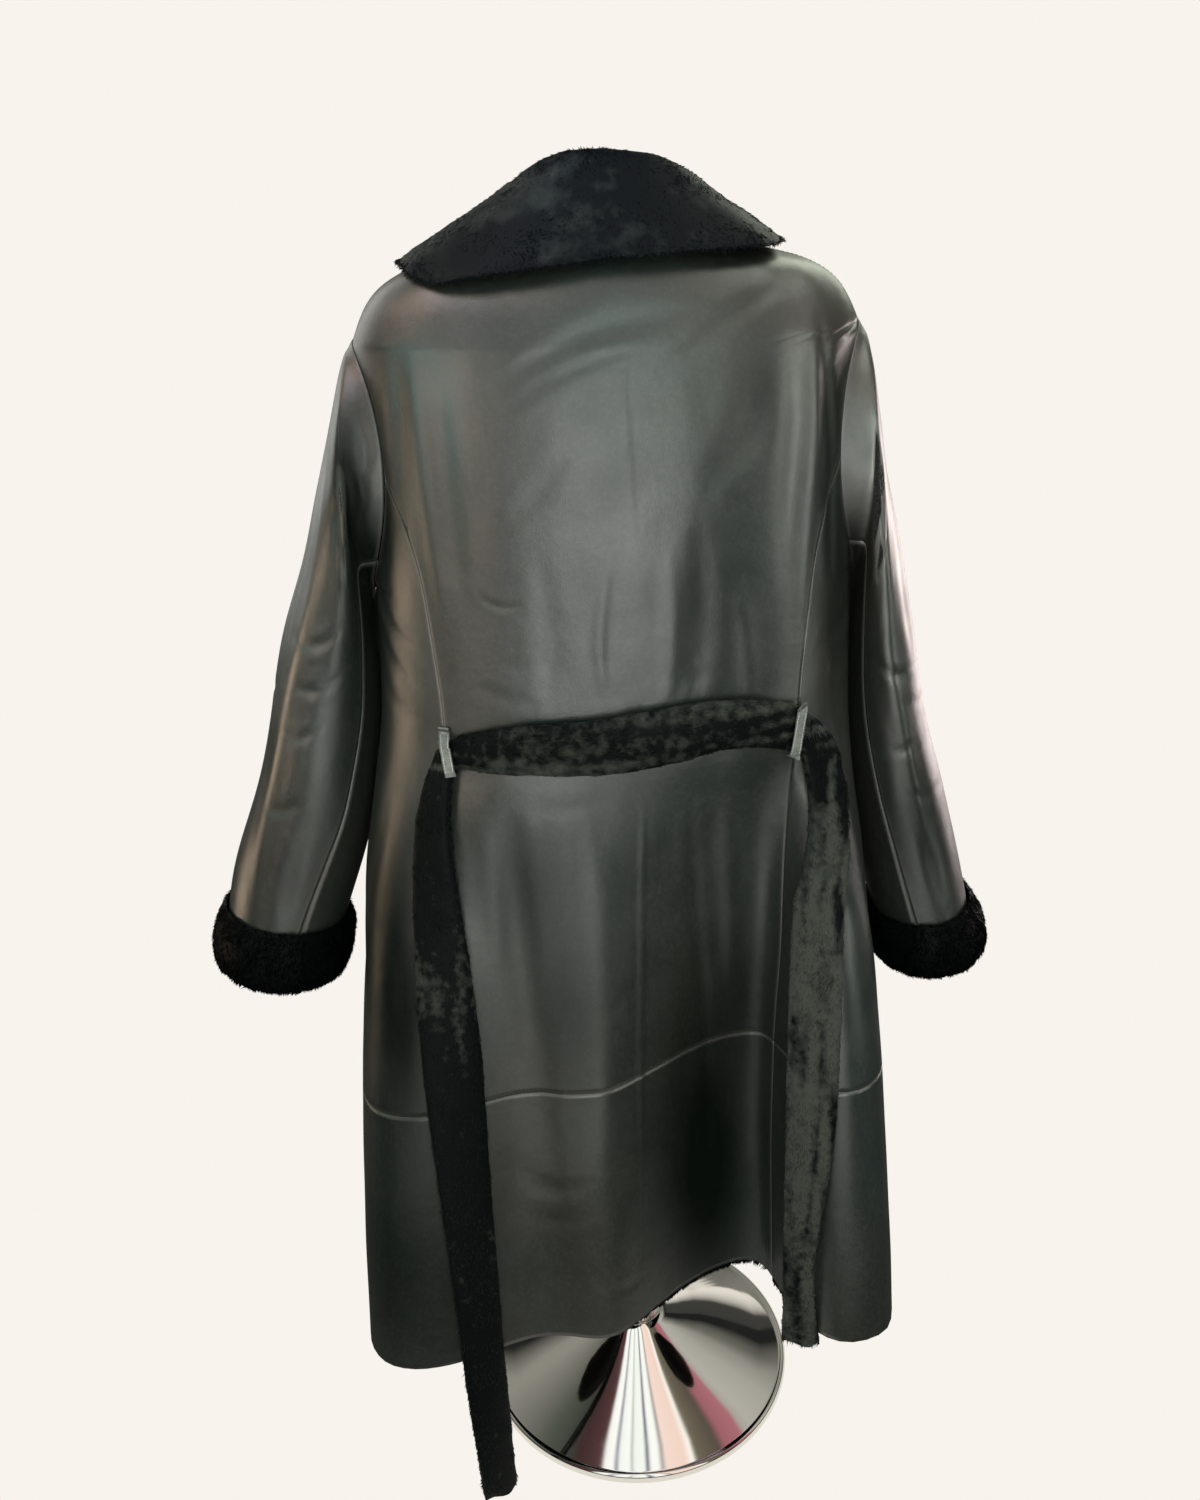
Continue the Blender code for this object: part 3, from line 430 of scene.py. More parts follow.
@dataclass(frozen=True)
class FloorFinish:
    """The plain pale floor, even to look at. As light it is dim, and bright only near the stand."""

    name: str = "floor_pale"
    glow: Colour = (0.938, 0.896, 0.846)
    bounce: Colour = (0.05, 0.05, 0.045)
    bounce_near: Colour = (0.85, 0.81, 0.72)
    near: tuple[float, float] = (0.22, 0.32)

    def build(self) -> Material:
        """Builds the floor's finish.

        Returns:
            The material.
        """
        shader = Shader(self.name)
        away = shader.vector("LENGTH", shader.place(), output="Value")
        bounce = shader.blend(shader.spread(away, 1.0, 0.0, *self.near), self.bounce, self.bounce_near)
        seen = shader.blend(shader.add("LightPath", "Is Camera Ray"), bounce, self.glow)
        shader.set(Base_Color=(0.0, 0.0, 0.0, 1.0), Roughness=1.0, Specular_IOR_Level=0.0)
        return shader.set(Emission_Color=seen, Emission_Strength=1.0)


class Waves:
    """A smooth random field made of seeded sine waves, for soft unevenness."""

    def __init__(self, seed: int, length: float | Sequence[float], count: int = 14) -> None:
        """Draws the waves.

        Args:
            seed: Seed of the draw.
            length: Typical wave length in metres, for all axes or for each.
            count: Number of waves.
        """
        rng = np.random.default_rng(seed)
        way = rng.normal(size=(count, 3))
        way /= np.linalg.norm(way, axis=1)[:, None]
        self.turns = 2 * math.pi * way * rng.uniform(0.6, 1.5, (count, 1)) / np.array(length)
        self.phase = rng.uniform(0, 2 * math.pi, count)

    def at(self, points: Points) -> np.ndarray:
        """The field at each point, mostly within -1 to 1."""
        waves = np.sin(points @ self.turns.T + self.phase)
        return waves.sum(axis=1) * math.sqrt(2 / len(self.phase)) * 0.7


def hump(values: np.ndarray, middle: float, half: float) -> np.ndarray:
    """A soft hump: 1 at its middle and 1/e at its half width."""
    return np.exp(-(((values - middle) / half) ** 2))


def ramp(values: np.ndarray, start: float, end: float) -> np.ndarray:
    """0 at the start and before it, 1 at the end and past it."""
    return np.clip((values - start) / (end - start), 0, 1)


def nothing(points: Points) -> np.ndarray:
    """A field of zeros."""
    return np.zeros(len(points))


def unit(rows: Points) -> Points:
    """Rows scaled to length 1."""
    return rows / np.maximum(np.linalg.norm(rows, axis=1), 1e-9)[:, None]


def rows_of(mesh: Mesh, what: str = "co") -> Points:
    """Reads one vector of each vertex.

    Args:
        mesh: The mesh.
        what: co for places or normal for normals.

    Returns:
        The vectors as rows.
    """
    flat = np.empty(3 * len(mesh.vertices), dtype=np.float32)
    mesh.vertices.foreach_get(what, flat)
    return flat.reshape(-1, 3).astype(float)


def moved(mesh: Mesh, places: Points) -> None:
    """Moves the mesh's vertices to their new places."""
    mesh.vertices.foreach_set("co", places.astype(np.float32).ravel())
    mesh.update()


def mark(mesh: Mesh, name: str, values: np.ndarray) -> None:
    """Stores one value at each point of a mesh."""
    mesh.attributes.new(name, "FLOAT", "POINT").data.foreach_set("value", values.astype(np.float32))


def tree_of(points: Iterable) -> KDTree:
    """Makes a search tree of points.

    Args:
        points: The points.

    Returns:
        The tree, with the points' numbers.
    """
    rows = list(points)
    tree = KDTree(len(rows))
    for index, row in enumerate(rows):
        tree.insert(row, index)
    tree.balance()
    return tree


def surface_of(meshes: Iterable[Mesh]) -> BVHTree:
    """Makes a search tree of outer faces.

    Args:
        meshes: The meshes.

    Returns:
        The tree of all their outer faces.
    """
    places: list = []
    faces: list = []
    for mesh in meshes:
        first = len(places)
        places += [tuple(row) for row in rows_of(mesh)]
        outer = (face for face in mesh.polygons if face.material_index == Side.OUTER.value)
        faces += [tuple(first + index for index in face.vertices) for face in outer]
    return BVHTree.FromPolygons(places, faces)


def linked(name: str, data: ID) -> Object:
    """Makes an object in the scene.

    Args:
        name: Its name.
        data: Its mesh, curve, light or camera.

    Returns:
        The object.
    """
    obj = bpy.data.objects.new(name, data)
    bpy.context.scene.collection.objects.link(obj)
    return obj


def kept(name: str, mesh: Mesh, material: Material, smooth: bool = True) -> Object:
    """Makes a finished piece, lets it ride and gives it its finish.

    Args:
        name: Name of the piece.
        mesh: Its mesh.
        material: Its finish, for a mesh that has none.
        smooth: Whether its faces shade smoothly.

    Returns:
        The piece.
    """
    piece = linked(name, mesh)
    if not mesh.materials:
        mesh.materials.append(material)
    if smooth:
        mesh.shade_smooth()
    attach(piece, "root")
    LOG.info("%s: %d faces", name, len(mesh.polygons))
    return piece


def merged_copy(node: str) -> bmesh.types.BMesh:
    """Copies a CAD node's mesh with its loose triangles merged, as quads where they pair up.

    Args:
        node: The node's name.

    Returns:
        The copy, without texture coordinates.
    """
    maker = bmesh.new()
    maker.from_mesh(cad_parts[node].data)
    bmesh.ops.remove_doubles(maker, verts=maker.verts, dist=MERGE)
    limits = {"angle_face_threshold": PAIR_BEND, "angle_shape_threshold": PAIR_SKEW}
    bmesh.ops.join_triangles(maker, faces=maker.faces, **limits)
    for name in list(maker.loops.layers.uv.keys()):
        maker.loops.layers.uv.remove(maker.loops.layers.uv[name])
    for face in maker.faces:
        face.smooth = True
        face.material_index = 0
    return maker


def flattened(maker: bmesh.types.BMesh, name: str) -> Mesh:
    """Turns a maker into a mesh and frees it.

    Args:
        maker: The maker.
        name: Name of the mesh.

    Returns:
        The new mesh.
    """
    mesh = bpy.data.meshes.new(name)
    maker.to_mesh(mesh)
    maker.free()
    return mesh


def evaluated(data: ID, levels: int = 0) -> Mesh:
    """The mesh that a curve makes, or a coarse mesh when it is subdivided.

    Args:
        data: The curve or the coarse mesh.
        levels: Levels of subdivision.

    Returns:
        The new mesh.
    """
    obj = linked(data.name + "_coarse", data)
    if levels:
        modifier = obj.modifiers.new("smooth", "SUBSURF")
        modifier.levels = modifier.render_levels = levels
    bpy.context.view_layer.update()
    made = bpy.data.meshes.new_from_object(obj.evaluated_get(bpy.context.evaluated_depsgraph_get()))
    bpy.data.objects.remove(obj)
    return made


def subdivided(maker: bmesh.types.BMesh, name: str) -> Mesh:
    """Subdivides a coarse mesh smoothly, and frees it.

    Args:
        maker: The coarse mesh, with its creased edges.
        name: Name of the new mesh.

    Returns:
        The fine mesh.
    """
    mesh = flattened(maker, name)
    fine = evaluated(mesh, LEVELS)
    bpy.data.meshes.remove(mesh)
    fine.name = name
    return fine


def filled_out(maker: bmesh.types.BMesh, name: str) -> Mesh:
    """Subdivides a coarse mesh, and frees it, so that the fine surface still meets the coarse points.

    Args:
        maker: The coarse mesh.
        name: Name of the new mesh.

    Returns:
        The fine mesh, not shrunk.
    """
    goal = np.array([vert.co[:] for vert in maker.verts])
    for _ in range(FILL_ROUNDS):
        trial = subdivided(maker.copy(), name + "_trial")
        short = FILL_SHARE * (goal - rows_of(trial)[: len(goal)])
        bpy.data.meshes.remove(trial)
        for vert, move in zip(maker.verts, short):
            vert.co += Vector(move)
    return subdivided(maker, name)


def mark_sides(maker: bmesh.types.BMesh, wall: float, middle: Vector) -> None:
    """Marks each face of a wall of cloth as outer, inner or rim, and creases the rims' edges.

    Args:
        maker: The wall, a closed mesh.
        wall: The wall's thickness.
        middle: A point of the upright line that the wall goes round.
    """
    maker.faces.ensure_lookup_table()
    maker.faces.index_update()
    tree = BVHTree.FromBMesh(maker)
    skin = set()
    for face in maker.faces:
        start = face.calc_center_median() - face.normal * (PROBE_START * wall)
        _, normal, _, _ = tree.ray_cast(start, -face.normal, PROBE_END * wall)
        if normal is not None and normal.dot(face.normal) < OPPOSITE:
            skin.add(face.index)
    sheets = []
    left = set(skin)
    while left:
        sheets.append(grown(maker.faces[min(left)], left))
        left -= sheets[-1]
    outer = max(sheets, key=lambda sheet: sum(turned_out(maker.faces[index], middle) for index in sheet))
    for face in maker.faces:
        side = Side.OUTER if face.index in outer else Side.INNER if face.index in skin else Side.RIM
        face.material_index = side.value
    crease = maker.edges.layers.float.get("crease_edge") or maker.edges.layers.float.new("crease_edge")
    for edge in maker.edges:
        kinds = {face.material_index for face in edge.link_faces}
        sharp = len(kinds) > 1 or (Side.RIM.value in kinds and edge.calc_face_angle(0) > SHARP)
        edge[crease] = 1.0 if sharp else 0.0


def turned_out(face: bmesh.types.BMFace, middle: Vector) -> float:
    """Measures how much of a face looks away from an upright line.

    Args:
        face: The face.
        middle: A point of the line.

    Returns:
        Its area as seen from the line, negative where it looks inwards.
    """
    away = face.calc_center_median() - middle
    away.z = 0
    return face.normal.dot(away.normalized()) * face.calc_area()


def grown(start: bmesh.types.BMFace, allowed: set[int]) -> set[int]:
    """Finds the faces that join the first one through allowed faces.

    Args:
        start: The first face.
        allowed: Numbers of the allowed faces.

    Returns:
        The numbers of the faces found.
    """
    found = {start.index}
    waiting = [start]
    while waiting:
        for edge in waiting.pop().edges:
            for face in edge.link_faces:
                if face.index in allowed and face.index not in found:
                    found.add(face.index)
                    waiting.append(face)
    return found


@dataclass(frozen=True)
class Crease:
    """A soft trough in the cloth, or a ridge where the depth is negative.

    Its points are across and up as seen in its view: x and z from the back or front, y and z from a side.
    """

    zone: Zone
    view: View
    points: Points
    depth: float
    width: float

    def laid(self, tree: BVHTree, steps: int = 14) -> Points:
        """The crease's line on the cloth.

        Args:
            tree: The outer faces of its zone.
            steps: Number of points on the line.

        Returns:
            The points that meet the cloth.
        """
        axis, end = self.view.value
        marks = np.linspace(0, len(self.points) - 1, steps)
        found = []
        for across, up in zip(*(smooth_through(values, marks) for values in self.points.T)):
            start = Vector((across, end, up)) if axis == 1 else Vector((end, across, up))
            way = Vector((0, -end, 0)) if axis == 1 else Vector((-end, 0, 0))
            place = tree.ray_cast(start, way)[0]
            if place is not None:
                found.append(place[:])
        return np.array(found)

    def push(self, points: Points, line: Points) -> np.ndarray:
        """How far each point moves outwards.

        Args:
            points: Places on the cloth.
            line: The crease's line.

        Returns:
            Metres outwards, negative in a trough.
        """
        nearest = np.full(len(points), np.inf)
        share = np.zeros(len(points))
        for number, (first, second) in enumerate(zip(line, line[1:])):
            way = second - first
            along = np.clip((points - first) @ way / max(way @ way, 1e-12), 0, 1)
            gap = np.linalg.norm(points - first - along[:, None] * way, axis=1)
            closer = gap < nearest
            nearest[closer] = gap[closer]
            share[closer] = (number + along[closer]) / (len(line) - 1)
        fade = np.sin(np.pi * share) ** CREASE_FADE
        ratio = (nearest / (self.width * (CREASE_LEAST + (1 - CREASE_LEAST) * fade))) ** 2
        return -self.depth * fade * (1 - CREASE_RIDGE * ratio) * np.exp(-ratio)


def smooth_through(values: np.ndarray, marks: np.ndarray) -> np.ndarray:
    """Draws a smooth line through values (Catmull-Rom).

    Args:
        values: The values.
        marks: Fractional places along them.

    Returns:
        The line's value at each mark.
    """
    padded = np.concatenate([[2 * values[0] - values[1]], values, [2 * values[-1] - values[-2]]])
    low = np.minimum(marks.astype(int), len(values) - 2)
    part = marks - low
    before, first, second, after = (padded[low + step] for step in range(4))
    slope = second - before
    bend = 2 * before - 5 * first + 4 * second - after
    turn = 3 * first - before - 3 * second + after
    return first + 0.5 * part * (slope + part * (bend + part * turn))


# The creases, in millimetres: depth, width, then across and up of each point
CREASES: dict[tuple[Zone, View], tuple] = {
    (Zone.BODY, View.BACK): (
        # The yoke and upper back: slanting drags from the right shoulder
        (1.3, 11, -140, 1236, -95, 1213, -30, 1170), (1.4, 13, -75, 1222, 25, 1204, 122, 1150),
        (0.8, 8, -20, 1196, 50, 1174, 105, 1140), (-0.7, 3.5, -4, 1238, -8, 1141, -13, 1029),
        (1.8, 20, -128, 1170, -102, 1120, -70, 1080), (1.0, 12, 40, 1120, 65, 1085, 100, 1060),
        # Upright folds beside the armholes
        (-1.7, 11, -165, 1220, -166, 1145, -161, 1048, -155, 930),
        (1.6, 13, -146, 1200, -148, 1110, -140, 980), (-1.6, 11, 160, 1212, 158, 1136, 155, 1063, 150, 960),
        (1.4, 13, 138, 1180, 137, 1080, 130, 970), (3.2, 11, -170, 1215, -179, 1140, -184, 1060, -186, 985),
        (2.4, 12, 172, 1190, 176, 1120, 178, 1050),
        # The small of the back
        (-0.9, 7, 8, 1030, 19, 962, 16, 905), (-1.1, 10, -41, 1040, -43, 959, -37, 900),
        (1.5, 15, -64, 1060, -68, 980, -62, 900), (-1.2, 11, -98, 1010, -107, 950, -112, 895),
        (1.0, 14, 66, 1040, 60, 960, 66, 900), (0.8, 5, 118, 1000, 100, 992, 82, 995),
        (0.6, 5, 108, 945, 86, 938, 60, 942), (0.6, 6, -30, 930, -60, 922, -90, 930),
        (0.7, 7, 128, 925, 105, 912, 70, 906),
        # The skirt's back: upright waves and the drags below the belt
        (-1.9, 17, 88, 836, 82, 717, 74, 521, 70, 360), (1.6, 16, 108, 820, 104, 700, 98, 560),
        (-1.1, 12, 132, 820, 126, 730, 124, 640), (1.4, 14, 45, 800, 42, 640, 46, 420),
        (-1.3, 5, -15, 815, -11, 646, -6, 500, -4, 320), (1.5, 11, -58, 810, -68, 640, -77, 500, -80, 330),
        (-1.4, 12, -92, 800, -98, 680, -104, 560), (0.5, 12, 118, 822, 60, 808, 0, 815),
        (0.9, 14, 138, 450, 96, 392, 38, 404), (0.5, 13, 120, 365, 85, 350, 45, 362),
        (0.8, 9, 60, 300, 30, 260, -10, 250), (0.8, 10, -20, 440, -45, 380, -50, 300),
    ),
    (Zone.BODY, View.LEFT): (
        # The left side panel under the arm, full where the sleeve rests near it
        (-9.5, 36, -30, 1040, -18, 975, -18, 900), (1.8, 9, 40, 1000, 66, 962, 100, 940),
        (1.5, 8, 36, 968, 60, 935, 95, 908), (1.2, 8, 30, 925, 58, 900, 92, 880),
        (-1.4, 14, 30, 880, 40, 760, 44, 640), (1.3, 16, 75, 820, 82, 700, 80, 560),
        (-1.5, 16, -40, 860, -50, 700, -52, 420), (1.3, 18, 0, 640, 6, 460, 0, 270),
        (1.0, 10, 110, 460, 60, 430, 20, 440),
    ),
    (Zone.BODY, View.RIGHT): (
        # The right side panel
        (1.5, 9, 36, 985, 62, 950, 95, 935), (1.2, 8, 30, 945, 56, 915, 88, 900),
        (-1.5, 14, 30, 860, 38, 700, 36, 560), (1.4, 16, 70, 800, 80, 640, 76, 480),
        (-1.4, 15, -45, 850, -50, 660, -46, 400), (1.2, 18, -5, 560, 0, 420, -6, 260),
    ),
    (Zone.BODY, View.FRONT): (
        # The fronts: drags from the chest to the waist and long waves in the skirt
        (1.4, 13, 120, 1170, 98, 1090, 60, 1020), (1.4, 13, -122, 1165, -100, 1080, -66, 1010),
        (1.1, 9, 160, 985, 130, 950, 85, 930), (1.2, 9, -162, 975, -128, 945, -80, 928),
        (0.9, 7, 140, 920, 100, 900, 50, 895), (0.9, 7, -140, 915, -96, 894, -45, 890),
        (-1.6, 14, 100, 860, 108, 700, 112, 480, 110, 300), (1.5, 16, 66, 830, 70, 640, 72, 420),
        (-1.5, 15, -96, 860, -104, 680, -100, 440), (1.4, 16, -60, 820, -62, 620, -66, 400),
        (1.2, 18, 172, 640, 180, 480, 184, 300), (1.2, 18, -166, 620, -172, 460, -170, 290),
        (0.9, 8, 200, 460, 150, 425, 100, 430),
    ),
    (Zone.SLEEVE_LEFT, View.BACK): (
        # The left sleeve: a long ridge and short drags round the elbow
        (-1.9, 13, 236, 1140, 268, 1000, 306, 886, 344, 761, 362, 690),
        (1.6, 12, 224, 1120, 250, 1000, 272, 900), (1.5, 7, 240, 965, 268, 945, 298, 948),
        (1.3, 7, 246, 918, 276, 900, 310, 905), (1.2, 6, 268, 872, 298, 852, 330, 858),
        (1.0, 7, 300, 790, 328, 776, 352, 780), (1.1, 12, 300, 770, 322, 710, 336, 660),
        (1.4, 8, 214, 1150, 206, 1120, 212, 1085), (1.2, 7, 222, 1112, 212, 1080, 222, 1050),
    ),
    (Zone.SLEEVE_LEFT, View.LEFT): (
        (1.4, 13, 10, 1090, 6, 960, 12, 840), (1.2, 7, -50, 900, -20, 884, 10, 892),
    ),
    (Zone.SLEEVE_LEFT, View.RIGHT): (
        (-4.5, 22, 30, 990, 5, 985, -20, 985),
    ),
    (Zone.SLEEVE_LEFT, View.FRONT): (
        (1.4, 7, 250, 930, 282, 905, 315, 915), (1.3, 7, 262, 880, 296, 860, 330, 866),
        (-1.4, 12, 240, 1120, 280, 960, 330, 760),
    ),
    (Zone.SLEEVE_RIGHT, View.BACK): (
        # The right sleeve
        (-1.9, 11, -224, 1140, -234, 1029, -248, 905, -272, 815, -300, 700),
        (1.6, 11, -238, 1120, -256, 1000, -276, 900), (1.9, 7, -234, 902, -262, 888, -296, 894),
        (1.6, 7, -244, 806, -268, 812, -296, 822), (1.2, 6, -262, 862, -290, 852, -312, 858),
        (1.1, 7, -270, 770, -300, 758, -326, 764), (1.0, 10, -290, 730, -306, 680, -316, 640),
    ),
    (Zone.SLEEVE_RIGHT, View.RIGHT): (
        (1.3, 12, 10, 1080, 4, 950, 10, 830), (1.2, 7, -50, 880, -22, 866, 12, 874),
    ),
    (Zone.SLEEVE_RIGHT, View.FRONT): (
        (1.4, 7, -240, 910, -272, 888, -305, 896), (1.2, 7, -256, 856, -286, 838, -318, 846),
        (-1.4, 12, -234, 1110, -262, 950, -304, 740),
    ),
}

# Patches of painted shade, where the leather is darkened and made duller, or of painted highlight where the
# strength is negative and it is made shinier, as seen from the back:
# across and up of the middle, half width and half height in millimetres, and the strength
PAINTED_SHADE_AND_SHINE_PATCHES: dict[Zone, tuple] = {
    Zone.BODY: (
        (222, 640, 45, 190, 1.05), (240, 320, 70, 140, 0.75), (-75, 350, 50, 210, 1.15),
        (65, 600, 40, 120, 0.60), (95, 740, 35, 60, 0.35), (80, 340, 50, 80, 0.35),
        (-120, 560, 22, 110, 0.45), (-70, 990, 22, 70, 0.45), (125, 1190, 40, 50, -0.40),
        (-195, 960, 20, 90, 0.60), (-186, 1110, 14, 90, 0.80), (198, 1085, 16, 80, 0.90),
        (0, 720, 45, 110, -0.55), (-110, 730, 30, 80, -0.60), (-153, 1110, 14, 130, -0.90),
        (-120, 1160, 18, 40, 0.35), (110, 930, 60, 80, -0.25),
    ),
    Zone.SLEEVE_RIGHT: (
        (-245, 950, 30, 120, -1.00), (-222, 1100, 30, 70, -1.00), (-290, 730, 40, 60, 0.35),
        (-210, 990, 14, 60, 1.60),
    ),
    Zone.SLEEVE_LEFT: (
        (212, 980, 16, 70, 1.20), (224, 1085, 18, 60, 1.10), (290, 900, 35, 90, -0.45),
        (343, 715, 40, 70, 0.40),
    ),
}


def all_creases() -> list[Crease]:
    """Reads the table of creases.

    Returns:
        The creases, in metres.
    """
    made = []
    for (zone, view), rows in CREASES.items():
        deep, wide = (BODY_DEPTH, BODY_WIDTH) if zone is Zone.BODY else (1.0, 1.0)
        for depth, width, *ways in rows:
            points = np.reshape(ways, (-1, 2)) / 1000
            made.append(Crease(zone, view, points, deep * depth / 1000, wide * width / 1000))
    return made


def patches(rows: Iterable[Sequence[float]], points: Points) -> np.ndarray:
    """The soft patches of a table, added up at each point.

    Args:
        rows: Across and up of the middle, half width and half height in millimetres, and the strength.
        points: Places in metres.

    Returns:
        The sum of their strengths.
    """
    total = np.zeros(len(points))
    for *places, strength in rows:
        across, up, wide, high = (place / 1000 for place in places)
        total += strength * hump(points[:, 0], across, wide) * hump(points[:, 2], up, high)
    return total


@dataclass
class Panel:
    """One cut piece of shearling: leather outside, nap inside.

    Its flat size is the width and length of the leather it was cut from, and cut is its own flat area.
    """

    node: str
    flat: tuple[float, float]
    cut: float
    zone: Zone = Zone.BODY
    wall: float = WALL
    fine: bool = False
    mesh: Mesh | None = field(default=None, repr=False)

    def shape(self) -> None:
        """Makes the fine mesh from the CAD node, with its sides marked."""
        maker = merged_copy(self.node)
        middle = Vector((0, 0, 0))
        if self.zone is not Zone.BODY:
            low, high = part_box("sleeve_upper_" + self.zone.value)
            middle = (low + high) / 2
        mark_sides(maker, self.wall, middle)
        self.mesh = filled_out(maker, self.node + "_leather")
        if self.fine:
            self.split_outer()

    def split_outer(self) -> None:
        """Splits the outer faces once more, where the small creases lie."""
        maker = bmesh.new()
        maker.from_mesh(self.mesh)
        outer = (face for face in maker.faces if face.material_index == Side.OUTER.value)
        edges = list({edge for face in outer for edge in face.edges})
        bmesh.ops.subdivide_edges(maker, edges=edges, cuts=1, use_grid_fill=True)
        maker.to_mesh(self.mesh)
        maker.free()

    def sides(self) -> tuple[np.ndarray, np.ndarray, Points]:
        """Looks at the wall's outer side.

        Returns:
            Which vertices lie on it, which of those on its border, and the vertices' normals from it alone.
        """
        outer = np.zeros(len(self.mesh.vertices), dtype=bool)
        other = outer.copy()
        normals = np.zeros((len(outer), 3))
        for face in self.mesh.polygons:
            corners = list(face.vertices)
            if face.material_index == Side.OUTER.value:
                outer[corners] = True
                normals[corners] += np.array(face.normal) * face.area
            else:
                other[corners] = True
        size = np.linalg.norm(normals, axis=1)
        return outer, outer & other, normals / np.maximum(size, 1e-12)[:, None]

    def settle(self, push: Field) -> None:
        """Moves the whole wall by a field taken on its outer side, and marks worn edges and the patches of
        painted shade and painted highlight.

        Args:
            push: Gives metres outwards at each point.
        """
        places = rows_of(self.mesh)
        outer, border, normals = self.sides()
        moves = normals * push(places)[:, None] * outer[:, None]
        tree, edge = tree_of(places[outer]), tree_of(places[border])
        numbers = np.flatnonzero(outer)
        for index in np.flatnonzero(~outer):
            moves[index] = moves[numbers[tree.find(places[index])[1]]]
        wear = np.zeros(len(places))
        for index in numbers:
            wear[index] = math.exp(-((edge.find(places[index])[2] / WEAR_REACH) ** 2))
        mark(self.mesh, "wear", wear)
        # Painted shade and painted highlight: the patches, on faces that look back
        facing = np.clip(2.5 * normals[:, View.BACK.value[0]], 0, 1)
        mark(self.mesh, "painted_shade_and_shine", facing * patches(PAINTED_SHADE_AND_SHINE_PATCHES[self.zone], places))
        moved(self.mesh, places + moves)

    def seam_edges(self) -> list[tuple[int, int]]:
        """Finds the edges where the outer side meets the rim.

        Returns:
            Pairs of vertices.
        """
        kinds: dict[tuple[int, int], set[int]] = {}
        for face in self.mesh.polygons:
            for pair in face.edge_keys:
                kinds.setdefault(pair, set()).add(face.material_index)
        return [pair for pair, seen in kinds.items() if Side.OUTER.value in seen and len(seen) > 1]

    def dress(self, leather: Material, nap: Material) -> Object:
        """Makes the piece.

        Args:
            leather: Finish of the outer side and of the first strip of the rim.
            nap: Finish of the rest.

        Returns:
            The piece.
        """
        outer, _, _ = self.sides()
        for face in self.mesh.polygons:
            leathery = face.material_index == Side.OUTER.value or any(outer[list(face.vertices)])
            face.material_index = 0 if leathery else 1
        for finish in (leather, nap):
            self.mesh.materials.append(finish)
        piece = kept(self.node + "_shell", self.mesh, leather)
        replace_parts(piece, self.node)
        rests = ["form_body"] if rows_of(self.mesh)[:, 2].max() > 0.6 else ["coat_back_shell"]
        return piece


# Pairs of panels that are sewn together, with * for left and right
PANEL_SEAMS = (
    "coat_back coat_side_back_*", "coat_side_back_* coat_front_*", "coat_back coat_front_*",
    "coat_back hem_back", "coat_side_back_* hem_side_*", "coat_back hem_side_*",
    "coat_front_* hem_front_*", "hem_back hem_side_*", "hem_side_* hem_front_*",
    "sleeve_upper_* sleeve_under_*",
)
ARMHOLES = (
    "sleeve_upper_* coat_back", "sleeve_upper_* coat_front_*",
    "sleeve_under_* coat_side_back_*", "sleeve_under_* coat_front_*",
)


